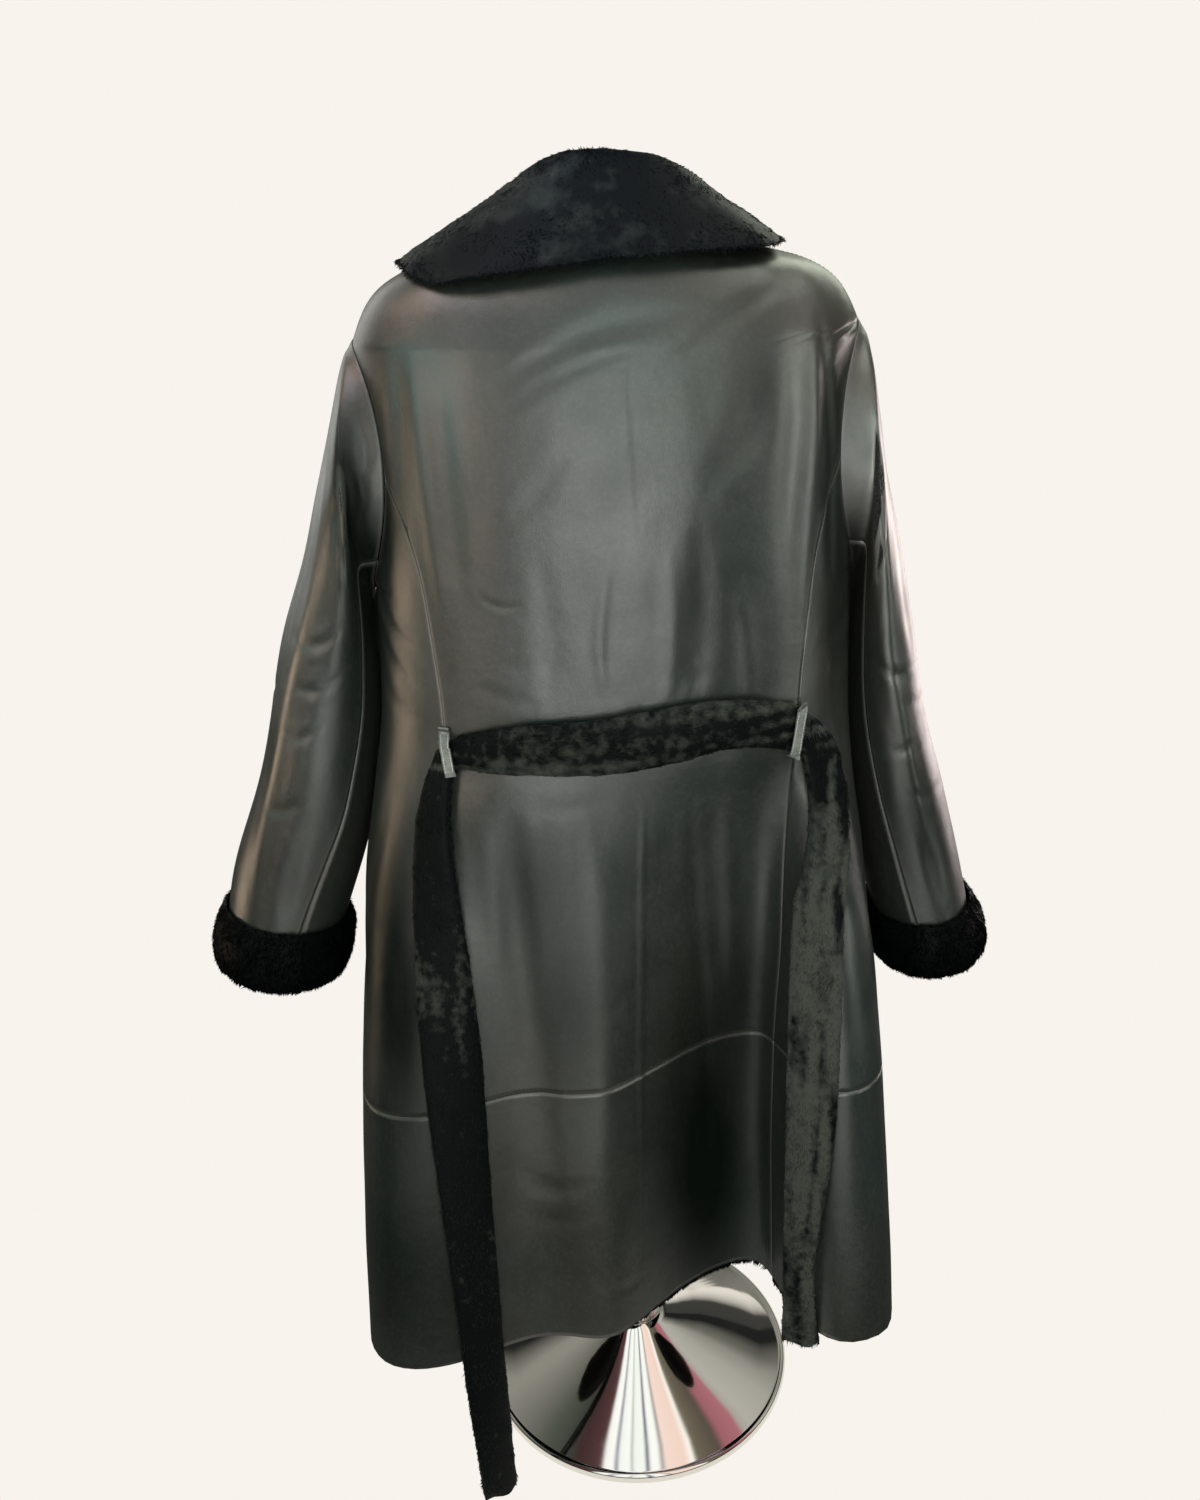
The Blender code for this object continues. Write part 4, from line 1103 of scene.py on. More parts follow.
@dataclass
class Coat:
    """The leather panels, their creases and their seams."""

    finish: LeatherFinish = LeatherFinish()
    nap: NapFinish = NapFinish()
    # The seam edges' paler colour: edge wear and painted highlight along the seam
    seam: PlainLeatherFinish = PlainLeatherFinish("seam_edge", (0.035, 0.037, 0.034), (0.075, 0.077, 0.070))
    thread: ThreadFinish = ThreadFinish("seam_thread", (0.020, 0.020, 0.019))
    seam_radius: float = 0.00055
    stitch_away: float = 0.0028
    stitch_pitch: float = 0.0042
    stitch_size: tuple[float, float] = (0.0030, 0.00055)
    panels: tuple[Panel, ...] = (
        Panel("coat_back", (0.47, 0.80), 0.298, fine=True),
        Panel("coat_side_back_left", (0.18, 0.62), 0.091, fine=True),
        Panel("coat_side_back_right", (0.18, 0.62), 0.0965, fine=True),
        Panel("coat_front_left", (0.40, 0.80), 0.252),
        Panel("coat_front_right", (0.40, 0.80), 0.2465),
        Panel("hem_back", (0.36, 0.33), 0.1145, fine=True),
        Panel("hem_side_left", (0.27, 0.33), 0.0825, fine=True),
        Panel("hem_side_right", (0.33, 0.33), 0.0995, fine=True),
        Panel("hem_front_left", (0.45, 0.33), 0.142),
        Panel("hem_front_right", (0.44, 0.33), 0.138),
        Panel("sleeve_upper_left", (0.32, 0.65), 0.151, Zone.SLEEVE_LEFT, fine=True),
        Panel("sleeve_under_left", (0.15, 0.46), 0.0505, Zone.SLEEVE_LEFT),
        Panel("sleeve_upper_right", (0.32, 0.65), 0.1435, Zone.SLEEVE_RIGHT, fine=True),
        Panel("sleeve_under_right", (0.15, 0.48), 0.0535, Zone.SLEEVE_RIGHT),
    )

    def build(self) -> None:
        """Builds the panels, then sews them."""
        for panel in self.panels:
            panel.shape()
        trees = self.zone_trees()
        lines = [(crease, crease.laid(trees[crease.zone])) for crease in all_creases()]
        uneven = (0.0010, Waves(11, (0.16, 0.16, 0.42))), (0.00022, Waves(12, (0.05, 0.05, 0.10)))
        for panel in self.panels:
            own = [(crease, line) for crease, line in lines if crease.zone is panel.zone and len(line) > 2]
            panel.settle(
                lambda points: sum(height * waves.at(points) for height, waves in uneven)
                + sum(crease.push(points, line) for crease, line in own)
            )
        leather, nap = self.finish.build(), self.nap.build()
        for panel in self.panels:
            panel.dress(leather, nap)
        self.sew()

    def zone_trees(self) -> dict[Zone, BVHTree]:
        """Makes a search tree of each zone's outer faces.

        Returns:
            The trees by zone.
        """
        return {
            zone: surface_of(panel.mesh for panel in self.panels if panel.zone is zone) for zone in Zone
        }

    def sew(self) -> None:
        """Lays the raised seam edges, and a row of stitches beside those between panels."""
        by_name = {panel.node: panel for panel in self.panels}
        trees = self.zone_trees()
        ridge, thread = self.seam.build(), self.thread.build()
        for word, pairs, reach in (("panel", PANEL_SEAMS, NEAR_SEAM), ("armhole", ARMHOLES, NEAR_ARMHOLE)):
            paths: list[tuple[Zone, Points]] = []
            for names in dict.fromkeys(pair.replace("*", side) for pair in pairs for side in SIDES):
                first, second = (by_name[name] for name in names.split())
                paths += [(first.zone, path) for path in seam_paths(first, second, reach)]
            strands = round_strands([path for _, path in paths], self.seam_radius)
            kept("seam_edges_" + word, strands, ridge)
            if word == "panel":
                row = (self.stitch_away, self.stitch_pitch)
                marks = [stitch_marks(path, trees[zone], *row) for zone, path in paths]
                kept("seam_stitches_" + word, stitches(marks, *self.stitch_size), thread)


def seam_paths(first: Panel, second: Panel, reach: float) -> list[Points]:
    """The lines along which two panels meet on the outside.

    Args:
        first: One panel.
        second: The other.
        reach: How far apart their edges may be.

    Returns:
        Each line's points, a little smoothed.
    """
    places = rows_of(first.mesh)
    rim = sorted({index for pair in second.seam_edges() for index in pair})
    tree = tree_of(rows_of(second.mesh)[rim])
    own = first.seam_edges()
    mate: dict[int, np.ndarray] = {}
    for index in {index for pair in own for index in pair}:
        place, _, gap = tree.find(places[index])
        if gap < reach:
            mate[index] = (places[index] + np.array(place)) / 2
    links: dict[int, list[int]] = {}
    for low, high in own:
        if low in mate and high in mate:
            links.setdefault(low, []).append(high)
            links.setdefault(high, []).append(low)
    paths = []
    seen: set[int] = set()
    for start in sorted(links, key=lambda index: (len(links[index]), index)):
        walk = []
        onward = [] if start in seen else [start]
        while onward:
            walk.append(onward[0])
            seen.add(onward[0])
            onward = [index for index in links[walk[-1]] if index not in seen]
        if len(walk) > 3:
            path = np.array([mate[index] for index in walk])
            for _ in range(2):
                path[1:-1] = (path[:-2] + 2 * path[1:-1] + path[2:]) / 4
            paths.append(path)
    return paths


def round_strands(paths: list[Points], radius: float) -> Mesh:
    """Lays round strands along paths.

    Args:
        paths: The strands' lines.
        radius: Their radius.

    Returns:
        All strands as one mesh.
    """
    curve = bpy.data.curves.new("strands", "CURVE")
    curve.dimensions = "3D"
    curve.bevel_depth = radius
    curve.bevel_resolution = 1
    curve.use_fill_caps = True
    for path in paths:
        spline = curve.splines.new("POLY")
        spline.points.add(len(path) - 1)
        spline.points.foreach_set("co", np.hstack([path, np.ones((len(path), 1))]).ravel())
    return evaluated(curve)


def stitch_marks(path: Points, tree: BVHTree, away: float, pitch: float) -> StitchRow:
    """Places for stitches beside a seam.

    Args:
        path: The seam's line.
        tree: The outer faces around it.
        away: Distance from the seam to the row.
        pitch: Distance between stitches.

    Returns:
        The stitches' centres, directions and normals.
    """
    steps = np.linalg.norm(np.diff(path, axis=0), axis=1)
    length = np.concatenate([[0], np.cumsum(steps)])
    marks = np.arange(pitch, length[-1] - pitch, pitch)
    middles, ahead = (
        np.column_stack([np.interp(marks + step, length, path[:, axis]) for axis in range(3)])
        for step in (0.0, 0.001)
    )
    found = []
    for middle, onward in zip(middles, ahead):
        way = Vector(onward - middle).normalized()
        beside = tree.find_nearest(middle)[1].cross(way).normalized()
        place, upward, _, _ = tree.find_nearest(Vector(middle) + beside * away)
        found.append((place[:], way[:], upward[:]))
    return tuple(np.array(rows) for rows in zip(*found)) if found else (np.empty((0, 3)),) * 3


def stitches(marks: list[StitchRow], length: float, thick: float) -> Mesh:
    """Short stitches with sunken ends, joined into one mesh.

    Args:
        marks: Centres, directions and normals of each row.
        length: A stitch's length.
        thick: Its thickness.

    Returns:
        The new mesh.
    """
    centres, ways, normals = (np.vstack(rows) for rows in zip(*marks))
    ways = ways - normals * np.sum(ways * normals, axis=1)[:, None]
    ways /= np.linalg.norm(ways, axis=1)[:, None]
    across = np.cross(normals, ways)
    # Each ring's place along the stitch, its size and its rise, as shares of the length and the thickness
    rings = ((-0.5, 0.35, -0.3), (-0.25, 0.5, 0.12), (0.25, 0.5, 0.12), (0.5, 0.35, -0.3))
    corners = ((-1, 0), (0, 1), (1, 0), (0, -1))
    rows = []
    for along, size, rise in rings:
        for side, up in corners:
            lift = (rise + up * size) * thick
            rows.append(centres + ways * (along * length) + across * (side * size * thick) + normals * lift)
    faces = []
    for ring in (0, 4, 8):
        for step in range(4):
            after = (step + 1) % 4
            faces.append((ring + step, ring + after, ring + 4 + after, ring + 4 + step))
    faces += [(3, 2, 1, 0), (12, 13, 14, 15)]
    return joined(rows, faces)


def joined(corners: list[Points], faces: list[tuple[int, ...]], **marks: np.ndarray) -> Mesh:
    """Many copies of one small closed shape as one mesh, with its faces outwards.

    Args:
        corners: Each of the shape's corners, in all copies.
        faces: The shape's faces.
        marks: Point attributes by name.

    Returns:
        The new mesh.
    """
    places = np.stack(corners, axis=1)
    count, step, _ = places.shape
    volume = 0.0
    for face in faces:
        first, *rest = (places[0][index] - places[0].mean(axis=0) for index in face)
        volume += sum(float(first @ np.cross(second, third)) for second, third in zip(rest, rest[1:]))
    if volume < 0:
        faces = [tuple(reversed(face)) for face in faces]
    mesh = bpy.data.meshes.new("joined")
    sizes = np.array([len(face) for face in faces])
    loops = np.concatenate([np.array(face) for face in faces])
    starts = np.concatenate([[0], np.cumsum(sizes)[:-1]])
    copies = np.arange(count)[:, None]
    mesh.vertices.add(count * step)
    mesh.loops.add(len(loops) * count)
    mesh.loops.foreach_set("vertex_index", (loops + step * copies).ravel().astype(np.int32))
    mesh.polygons.add(len(faces) * count)
    mesh.polygons.foreach_set("loop_start", (starts + len(loops) * copies).ravel().astype(np.int32))
    mesh.vertices.foreach_set("co", places.astype(np.float32).ravel())
    mesh.update(calc_edges=True)
    for key, values in marks.items():
        mark(mesh, key, values)
    return mesh


@dataclass(frozen=True)
class Pile:
    """How a stretch of fur grows: sizes in metres, lift in degrees above the skin.

    Spreads and ends of the lift are in radians, and tip is how much each corner of a lock counts as its tip.
    """

    length: float
    width: float
    lift: float
    sink: float = 0.0012
    swirl: float = 0.8
    swirl_size: float = 0.02
    gather: float = 0.35
    clump: int = 14
    turn_spread: float = 0.16
    lift_spread: float = 0.08
    lift_swell: float = 0.35
    lift_ends: tuple[float, float] = (0.08, 1.45)
    lengths: tuple[float, float] = (0.7, 1.15)
    thickness: float = 0.6
    tip: tuple[float, ...] = (0.35, 0.35, 0.60, 1.0)


def sampled(mesh: Mesh, count: int, rng: np.random.Generator, weigh: Callable) -> tuple[Points, Points]:
    """Random places on a mesh, by area and weight.

    Args:
        mesh: The skin.
        count: Number of places.
        rng: Seeded source.
        weigh: Gives a weight from triangle centres and normals.

    Returns:
        The places and their smooth normals.
    """
    mesh.calc_loop_triangles()
    corners = np.empty(3 * len(mesh.loop_triangles), dtype=np.int32)
    mesh.loop_triangles.foreach_get("vertices", corners)
    corners = corners.reshape(-1, 3)
    places, normals = rows_of(mesh), rows_of(mesh, "normal")
    first, second, third = (places[corners[:, number]] for number in range(3))
    cross = np.cross(second - first, third - first)
    size = np.linalg.norm(cross, axis=1)
    chance = size * weigh((first + second + third) / 3, cross / np.maximum(size, 1e-12)[:, None])
    picks = rng.choice(len(size), size=count, p=chance / chance.sum())
    parts = rng.random((count, 2))
    over = parts.sum(axis=1) > 1
    parts[over] = 1 - parts[over]
    shares = np.column_stack([1 - parts.sum(axis=1), parts])[:, :, None]
    ways = (normals[corners[picks]] * shares).sum(axis=1)
    return (places[corners[picks]] * shares).sum(axis=1), ways / np.linalg.norm(ways, axis=1)[:, None]


def locks(spots: Points, normals: Points, comb: Points, pile: Pile, seed: int) -> Mesh:
    """Fur as small tapered locks that lie along the comb and gather into tufts.

    Args:
        spots: Roots on the skin.
        normals: The skin's normals there.
        comb: The way that the fur is combed at each root.
        pile: The fur's sizes.
        seed: Seed of the draw.

    Returns:
        The new mesh.
    """
    rng = np.random.default_rng(seed)
    ahead = unit(comb - normals * np.sum(comb * normals, axis=1)[:, None])
    beside = np.cross(normals, ahead)
    count = len(spots)
    turn = pile.swirl * Waves(seed + 1, pile.swirl_size).at(spots) + rng.normal(0, pile.turn_spread, count)
    ahead = ahead * np.cos(turn)[:, None] + beside * np.sin(turn)[:, None]
    lift = np.radians(pile.lift) * (1 + pile.lift_swell * Waves(seed + 2, pile.swirl_size).at(spots))
    lift = np.clip(lift + rng.normal(0, pile.lift_spread, count), *pile.lift_ends)
    length = pile.length * rng.uniform(*pile.lengths, count)
    roots = spots - normals * pile.sink
    tips = roots + (ahead * np.cos(lift)[:, None] + normals * np.sin(lift)[:, None]) * length[:, None]
    heads = np.arange(0, count, pile.clump)
    tree = tree_of(tips[heads])
    mates = heads[[tree.find(tip)[1] for tip in tips]]
    tips = tips + (tips[mates] - tips) * pile.gather
    beside = unit(np.cross(normals, tips - roots)) * (pile.width / 2)
    corners = [roots - beside, roots + beside, roots + normals * (pile.thickness * pile.width), tips]
    marks = {"tip": np.tile(pile.tip, count), "tone": np.repeat(rng.random(count), len(corners))}
    return joined(corners, [(0, 1, 2), (0, 3, 1), (1, 3, 2), (2, 3, 0)], **marks)


def everywhere(centres: Points, _normals: Points) -> np.ndarray:
    """The same weight on the whole skin."""
    return np.ones(len(centres))


def above_floor(centres: Points, _normals: Points) -> np.ndarray:
    """No locks where they would reach the floor."""
    return np.where(centres[:, 2] > 0.016, 1.0, 0.0)


def hem_rim(centres: Points, normals: Points) -> np.ndarray:
    """Weight of the hem's underside where the back is hitched up."""
    under = (normals[:, 2] < -0.7) & (centres[:, 2] < HEM_Z + 0.004)
    return np.where(under, 1.0, 0.0) * np.exp(-(((centres[:, 0] + 0.065) / 0.06) ** 4))


# Patches of painted sheen over the collar, in the form that patches takes
COLLAR_SHEEN_PATCHES = (
    (70, 1318, 28, 10, 0.60),
    (40, 1300, 30, 9, 0.45),
    (95, 1296, 20, 8, 0.35),
    (-20, 1312, 30, 10, 0.25),
    (-80, 1300, 25, 9, 0.25),
    (130, 1275, 22, 7, 0.25),
)


def collar_painted_sheen(spots: Points) -> np.ndarray:
    """Painted sheen: paler patches over the collar's back, where the pile turns."""
    return 0.10 + 0.22 * Waves(33, (0.07, 0.07, 0.05)).at(spots) + patches(COLLAR_SHEEN_PATCHES, spots)


def collar_raised(spots: Points) -> np.ndarray:
    """How far the nap fills out the collar's fold, so that its top is as flat as shown."""
    x, z = spots[:, 0], spots[:, 2]
    return (0.0075 * hump(x, 0.035, 0.045) + 0.0045 * hump(x, -0.045, 0.030)) * ramp(z, 1.275, 1.325) ** 2


def belt_painted_sheen_and_shade(spots: Points) -> np.ndarray:
    """Paints sheen and shade on the belt: sheen streaks along its back, a paler right end and a dark left end
    with a pale patch.

    Args:
        spots: Places on the belt.

    Returns:
        How pale each is, as painted sheen and shade.
    """
    x, z = spots[:, 0], spots[:, 2]
    # Painted sheen and shade: streaks on the level part, a lit right end, a shaded left end
    level = 0.44 + 0.42 * Waves(43, (0.30, 0.10, 0.014)).at(spots) - 0.4 * ramp(x, 0.09, 0.14)
    upright = 0.50 * Waves(44, (0.016, 0.05, 0.12)).at(spots)
    right = upright + 0.98 * ramp(z, 0.815, 0.765) - 0.30 * ramp(z, 0.42, 0.22)
    left = 0.4 * upright - 0.10 + 0.55 * hump(z, 0.64, 0.045)
    ends = ramp(z, 0.845, 0.830)
    return level * (1 - ends) + np.where(x < 0, right, left) * ends


def collar_comb(spots: Points) -> Points:
    """The collar's fur lies outwards and down from the neck."""
    return unit(spots * LEVEL) * 0.8 + DOWN * 0.9


def belt_comb(spots: Points) -> Points:
    """The belt's fur runs along it: across the back, then down its hanging ends."""
    hanging = np.maximum(ramp(np.abs(spots[:, 0]), 0.150, 0.168), ramp(spots[:, 2], 0.845, 0.835))[:, None]
    return np.array((-1.0, 0.0, 0.05)) * (1 - hanging) + DOWN * hanging


def cuff_comb(spots: Points) -> Points:
    """The cuffs' fur lies down towards the hand."""
    return DOWN + unit(spots * LEVEL) * 0.3


@dataclass
class FurPiece:
    """A fur piece: its pelt, drawn in from the CAD node's skin, and the locks that fill it out again."""

    node: str
    flat: tuple[float, float]
    cut: float
    count: int
    pile: Pile
    comb: Field
    seed: int
    inset: float = 0.0019
    uneven: float = 0.0004
    wave: float = 0.03
    skin_tip: float = 0.4
    weigh: Callable = everywhere
    # pale gives where the fur gets painted sheen, and on the belt painted shade too
    pale: Field = nothing
    raised: Field = nothing
    held: str = "draped"
    rests_on: tuple[str, ...] = ("coat_back_shell",)

    def build(self, fur: Material) -> None:
        """Makes the pelt and its locks.

        Args:
            fur: Finish of both.
        """
        mesh = filled_out(merged_copy(self.node), self.node + "_pelt")
        places = rows_of(mesh)
        depth = self.inset + self.uneven * Waves(self.seed, self.wave).at(places)
        places = places - rows_of(mesh, "normal") * depth[:, None]
        places[:, 2] += self.raised(places)
        moved(mesh, places)
        mark(mesh, "tip", np.full(len(places), self.skin_tip))
        # Painted sheen on the pelt
        mark(mesh, "pale", self.pale(places))
        pelt = kept(self.node + "_pelt", mesh, fur)
        spots, ways = sampled(mesh, self.count, np.random.default_rng(self.seed), self.weigh)
        strands = locks(spots, ways, self.comb(spots), self.pile, self.seed)
        # Painted sheen on the locks
        mark(strands, "pale", np.repeat(self.pale(spots), 4))
        piece = kept(self.node + "_locks", strands, fur)
        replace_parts(pelt, self.node)
        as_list(self.rests_on)


@dataclass
class FurTrim:
    """Collar, cuffs, belt and the nap that shows under the hem where the back is hitched up."""

    collar_fur: FurFinish = FurFinish(
        "collar_fur", (0.0010, 0.0017, 0.0024), (0.0028, 0.0046, 0.0062), (0.052, 0.064, 0.061), 0.06
    )
    belt_fur: FurFinish = FurFinish(
        "belt_fur", (0.0008, 0.0014, 0.0015), (0.0020, 0.0032, 0.0034), (0.085, 0.096, 0.082), 0.05, 110.0
    )
    # The cuffs' fur: the same fur with darker colours, as painted shade
    cuff_fur_painted_shade: FurFinish = FurFinish(
        "cuff_fur_painted_shade", (0.0004, 0.0007, 0.0008), (0.0008, 0.0013, 0.0014), (0.002, 0.003, 0.003), 0.035,
        sheen=0.0,
    )
    short: Pile = Pile(0.0058, 0.0016, 12, swirl=0.8, swirl_size=0.05, gather=0.15, clump=9)
    long: Pile = Pile(0.0078, 0.0015, 12, swirl=0.3, swirl_size=0.04, gather=0.2, clump=9)
    thick: Pile = Pile(0.0075, 0.0019, 20, swirl=0.7, swirl_size=0.03, gather=0.2, clump=9)
    fringe: Pile = Pile(0.007, 0.0018, 8, sink=0.0, swirl=0.3, gather=0.4)

    def build(self) -> None:
        """Builds every fur piece and the fringe."""
        collar, belt, cuff = self.collar_fur.build(), self.belt_fur.build(), self.cuff_fur_painted_shade.build()
        nap = {"pale": collar_painted_sheen, "raised": collar_raised}
        FurPiece("collar", (0.62, 0.16), 0.0765, 46000, self.short, collar_comb, 31, **nap).build(collar)
        hung = {"weigh": above_floor, "pale": belt_painted_sheen_and_shade, "held": "hung"}
        FurPiece("belt", (0.052, 2.1), 0.0995, 46000, self.long, belt_comb, 41, **hung).build(belt)
        FurPiece("cuff_left", (0.36, 0.09), 0.0285, 15000, self.thick, cuff_comb, 51).build(cuff)
        FurPiece("cuff_right", (0.36, 0.09), 0.026, 14000, self.thick, cuff_comb, 61).build(cuff)
        self.build_fringe(cuff)

    def build_fringe(self, fur: Material) -> None:
        """Makes the nap that stands out under the hem's leather where the back is hitched up.

        Args:
            fur: Its finish.
        """
        rng = np.random.default_rng(71)
        spots = np.vstack([
            sampled(bpy.data.objects[node + "_shell"].data, count, rng, hem_rim)[0]
            for node, count in (("hem_back", 2600), ("hem_side_right", 500))
        ])
        normals = unit(unit(spots * LEVEL) + DOWN * 0.25)
        comb = np.tile(DOWN, (len(spots), 1))
        kept("hem_fringe", locks(spots, normals, comb, self.fringe, 72), fur)


def dropped(line: Iterable[Sequence[float]], tree: BVHTree, way: Sequence[float] = (0, -1, 0)) -> Points:
    """A line cast onto a surface.

    Args:
        line: Points in front of the surface.
        tree: The surface.
        way: The direction of the cast.

    Returns:
        The points that meet it.
    """
    found = [tree.ray_cast(Vector(point), Vector(way))[0] for point in line]
    return np.array([place[:] for place in found if place is not None])


@dataclass
class Trims:
    """Belt loops and pocket welts."""

    loop_finish: PlainLeatherFinish = PlainLeatherFinish(
        "loop_leather", (0.085, 0.095, 0.088), (0.150, 0.165, 0.152), 0.46
    )
    loop_thread: ThreadFinish = ThreadFinish("loop_thread", (0.42, 0.44, 0.44))
    bar_thread: ThreadFinish = ThreadFinish("bar_thread", (0.03, 0.03, 0.03))
    thread_width: float = 0.0006
    loop_stitch: float = 0.0021
    loop_pitch: float = 0.0026
    loop_row: float = 0.32
    loop_margins: tuple[float, float] = (0.003, 0.004)
    bar_radius: float = 0.0007
    bar_strands: tuple[float, float] = (-0.0006, 0.0006)
    bar_below: float = 0.0022
    bar_past: float = 0.0008
    welt_stitch: float = 0.0026
    welt_pitch: float = 0.00351
    welt_away: float = 0.0022
    welt_margin: float = 0.004
    welt_row: tuple[float, float] = (0.16, 0.34)

    def build(self, leather: LeatherFinish, nap: NapFinish) -> None:
        """Builds the loops with their stitching, and the welts.

        Args:
            leather: Finish of the welts.
            nap: Finish of the welts' inner side.
        """
        loop, light, dark = self.loop_finish.build(), self.loop_thread.build(), self.bar_thread.build()
        for side in SIDES:
            self.build_loop(side, loop, light, dark)
            welt = Panel("pocket_welt_" + side, (0.027, 0.118), 0.003, wall=WELT_WALL)
            welt.shape()
            welt.settle(lambda points: 0.0002 * Waves(21, 0.03).at(points))
            welt.dress(bpy.data.materials[leather.name], bpy.data.materials[nap.name])
            self.stitch_welt(side, welt.mesh, light)

    def build_loop(self, side: str, loop: Material, light: Material, dark: Material) -> None:
        """One belt loop: its strip, two rows of edge stitches and a bar tack at the top.

        Args:
            side: left or right.
            loop: Finish of the strip.
            light: Finish of the edge stitches.
            dark: Finish of the bar tack.
        """
        panel = Panel("belt_loop_" + side, (0.010, 0.056), 0.00050, wall=LOOP_WALL)
        panel.shape()
        panel.settle(lambda points: 0.00015 * Waves(22, 0.012).at(points))
        for face in panel.mesh.polygons:
            face.material_index = 0
        strip = kept(panel.node + "_strip", panel.mesh, loop)
        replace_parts(strip, panel.node)
        low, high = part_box(panel.node)
        tree = surface_of([panel.mesh])
        places = rows_of(panel.mesh)
        foot, head = (places[np.abs(places[:, 2] - z) < 0.005, 0] for z in (low.z, high.z))
        wide = float(np.ptp(head))
        heights = np.linspace(low.z + self.loop_margins[0], high.z - self.loop_margins[1], 18)
        middles = np.interp(heights, (low.z, high.z), (float(np.mean(foot)), float(np.mean(head))))
        before = high.y + 0.05
        marks = []
        for away in (-self.loop_row * wide, self.loop_row * wide):
            row = dropped([(middle + away, before, z) for middle, z in zip(middles, heights)], tree)
            marks.append(stitch_marks(row, tree, 0.0, self.loop_pitch))
        threads = stitches(marks, self.loop_stitch, self.thread_width)
        reach = 0.5 * wide + self.bar_past
        bar = [(middles[-1] + x, before, high.z - self.bar_below) for x in np.linspace(-reach, reach, 14)]
        bar = dropped(bar, tree)
        tack = round_strands([bar + np.array((0, 0, step)) for step in self.bar_strands], self.bar_radius)
        seams = [
            kept("loop_stitches_" + side, threads, light),
            kept("bar_tack_" + side, tack, dark),
        ]

    def stitch_welt(self, side: str, mesh: Mesh, thread: Material) -> None:
        """A row of stitches inside the border of a welt.

        Args:
            side: left or right.
            mesh: The welt.
            thread: Finish of the stitches.
        """
        places = rows_of(mesh)
        low, high = places.min(axis=0), places.max(axis=0)
        share, lean = self.welt_row if low[0] > 0 else (1 - self.welt_row[0], -self.welt_row[1])
        start = low[0] + (high[0] - low[0]) * share
        heights = np.linspace(high[2] - self.welt_margin, low[2] + self.welt_margin, 40)
        tree = surface_of([mesh])
        path = dropped([(start + (high[2] - z) * lean, -0.4, z) for z in heights], tree, (0, 1, 0))
        marks = [stitch_marks(path, tree, self.welt_away, self.welt_pitch)]
        threads = stitches(marks, self.welt_stitch, self.thread_width)
        kept("welt_stitches_" + side, threads, thread)


@dataclass
class DressForm:
    """The limbless form under the coat."""

    finish: JerseyFinish = JerseyFinish()

    def build(self) -> None:
        """Builds the torso and the neck cap."""
        jersey = self.finish.build()
        for node in ("form_body", "form_neck"):
            maker = merged_copy(node)
            crease = maker.edges.layers.float.new("crease_edge")
            for edge in maker.edges:
                edge[crease] = 1.0 if edge.calc_face_angle(0) > SHARP else 0.0
            mesh = subdivided(maker, node + "_cover")
            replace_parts(kept(node + "_cover", mesh, jersey), node)


@dataclass
class Stand:
    """The chromed pole, nut and trumpet base, turned on a lathe from profiles of radius and height."""

    finish: ChromeFinish = ChromeFinish()
    steps: int = 128
    ease: float = 0.0006
    base: tuple[tuple[float, float], ...] = (
        (0.0, 0.0), (0.1770, 0.0), (0.1792, 0.0008), (0.1800, 0.0026), (0.1800, 0.0064), (0.1792, 0.0086),
        (0.1775, 0.0098), (0.1755, 0.0101), (0.1738, 0.0096), (0.1728, 0.0092), (0.1715, 0.0096),
        (0.1500, 0.0186), (0.1250, 0.0290), (0.1000, 0.0394), (0.0780, 0.0485), (0.0600, 0.0565),
        (0.0460, 0.0640), (0.0370, 0.0700), (0.0320, 0.0740), (0.0, 0.0740),
    )
    nut: tuple[tuple[float, float], ...] = (
        (0.0128, 0.0743), (0.0296, 0.0743), (0.0312, 0.0752), (0.0320, 0.0780), (0.0320, 0.0890),
        (0.0310, 0.0916), (0.0280, 0.0940), (0.0225, 0.0955), (0.0185, 0.0976), (0.0178, 0.0980),
        (0.0128, 0.0980),
    )

    def build(self) -> list[Object]:
        """Turns the three pieces.

        Returns:
            The pieces.
        """
        pieces = []
        chrome = self.finish.build()
        low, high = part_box("stand_pole")
        inner, outer = high.x - self.ease, high.x
        pole = (
            (0.0, low.z), (inner, low.z), (outer, low.z + self.ease),
            (outer, high.z - self.ease), (inner, high.z), (0.0, high.z),
        )
        for node, profile in (("stand_base", self.base), ("stand_nut", self.nut), ("stand_pole", pole)):
            mesh = self.turned(node, profile)
            pieces.append(kept(node + "_chrome", mesh, chrome, smooth=False))
            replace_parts(pieces[-1], node)
        return pieces

    def turned(self, name: str, profile: Sequence[tuple[float, float]]) -> Mesh:
        """Turns a profile round the upright axis and marks the sharp edges.

        Args:
            name: Name of the mesh.
            profile: Radius and height of each point.

        Returns:
            The mesh.
        """
        maker = bmesh.new()
        verts = [maker.verts.new((radius, 0, z)) for radius, z in profile]
        edges = [maker.edges.new(pair) for pair in zip(verts, verts[1:])]
        if profile[0][0] > 0:
            edges.append(maker.edges.new((verts[-1], verts[0])))
        axis = {"cent": (0, 0, 0), "axis": (0, 0, 1), "angle": 2 * math.pi}
        bmesh.ops.spin(maker, geom=verts + edges, steps=self.steps, use_merge=True, **axis)
        bmesh.ops.remove_doubles(maker, verts=maker.verts, dist=1e-6)
        bmesh.ops.recalc_face_normals(maker, faces=maker.faces)
        for edge in maker.edges:
            edge.smooth = edge.calc_face_angle(0) < SHARP_CHROME
        for face in maker.faces:
            face.smooth = True
        return flattened(maker, name)


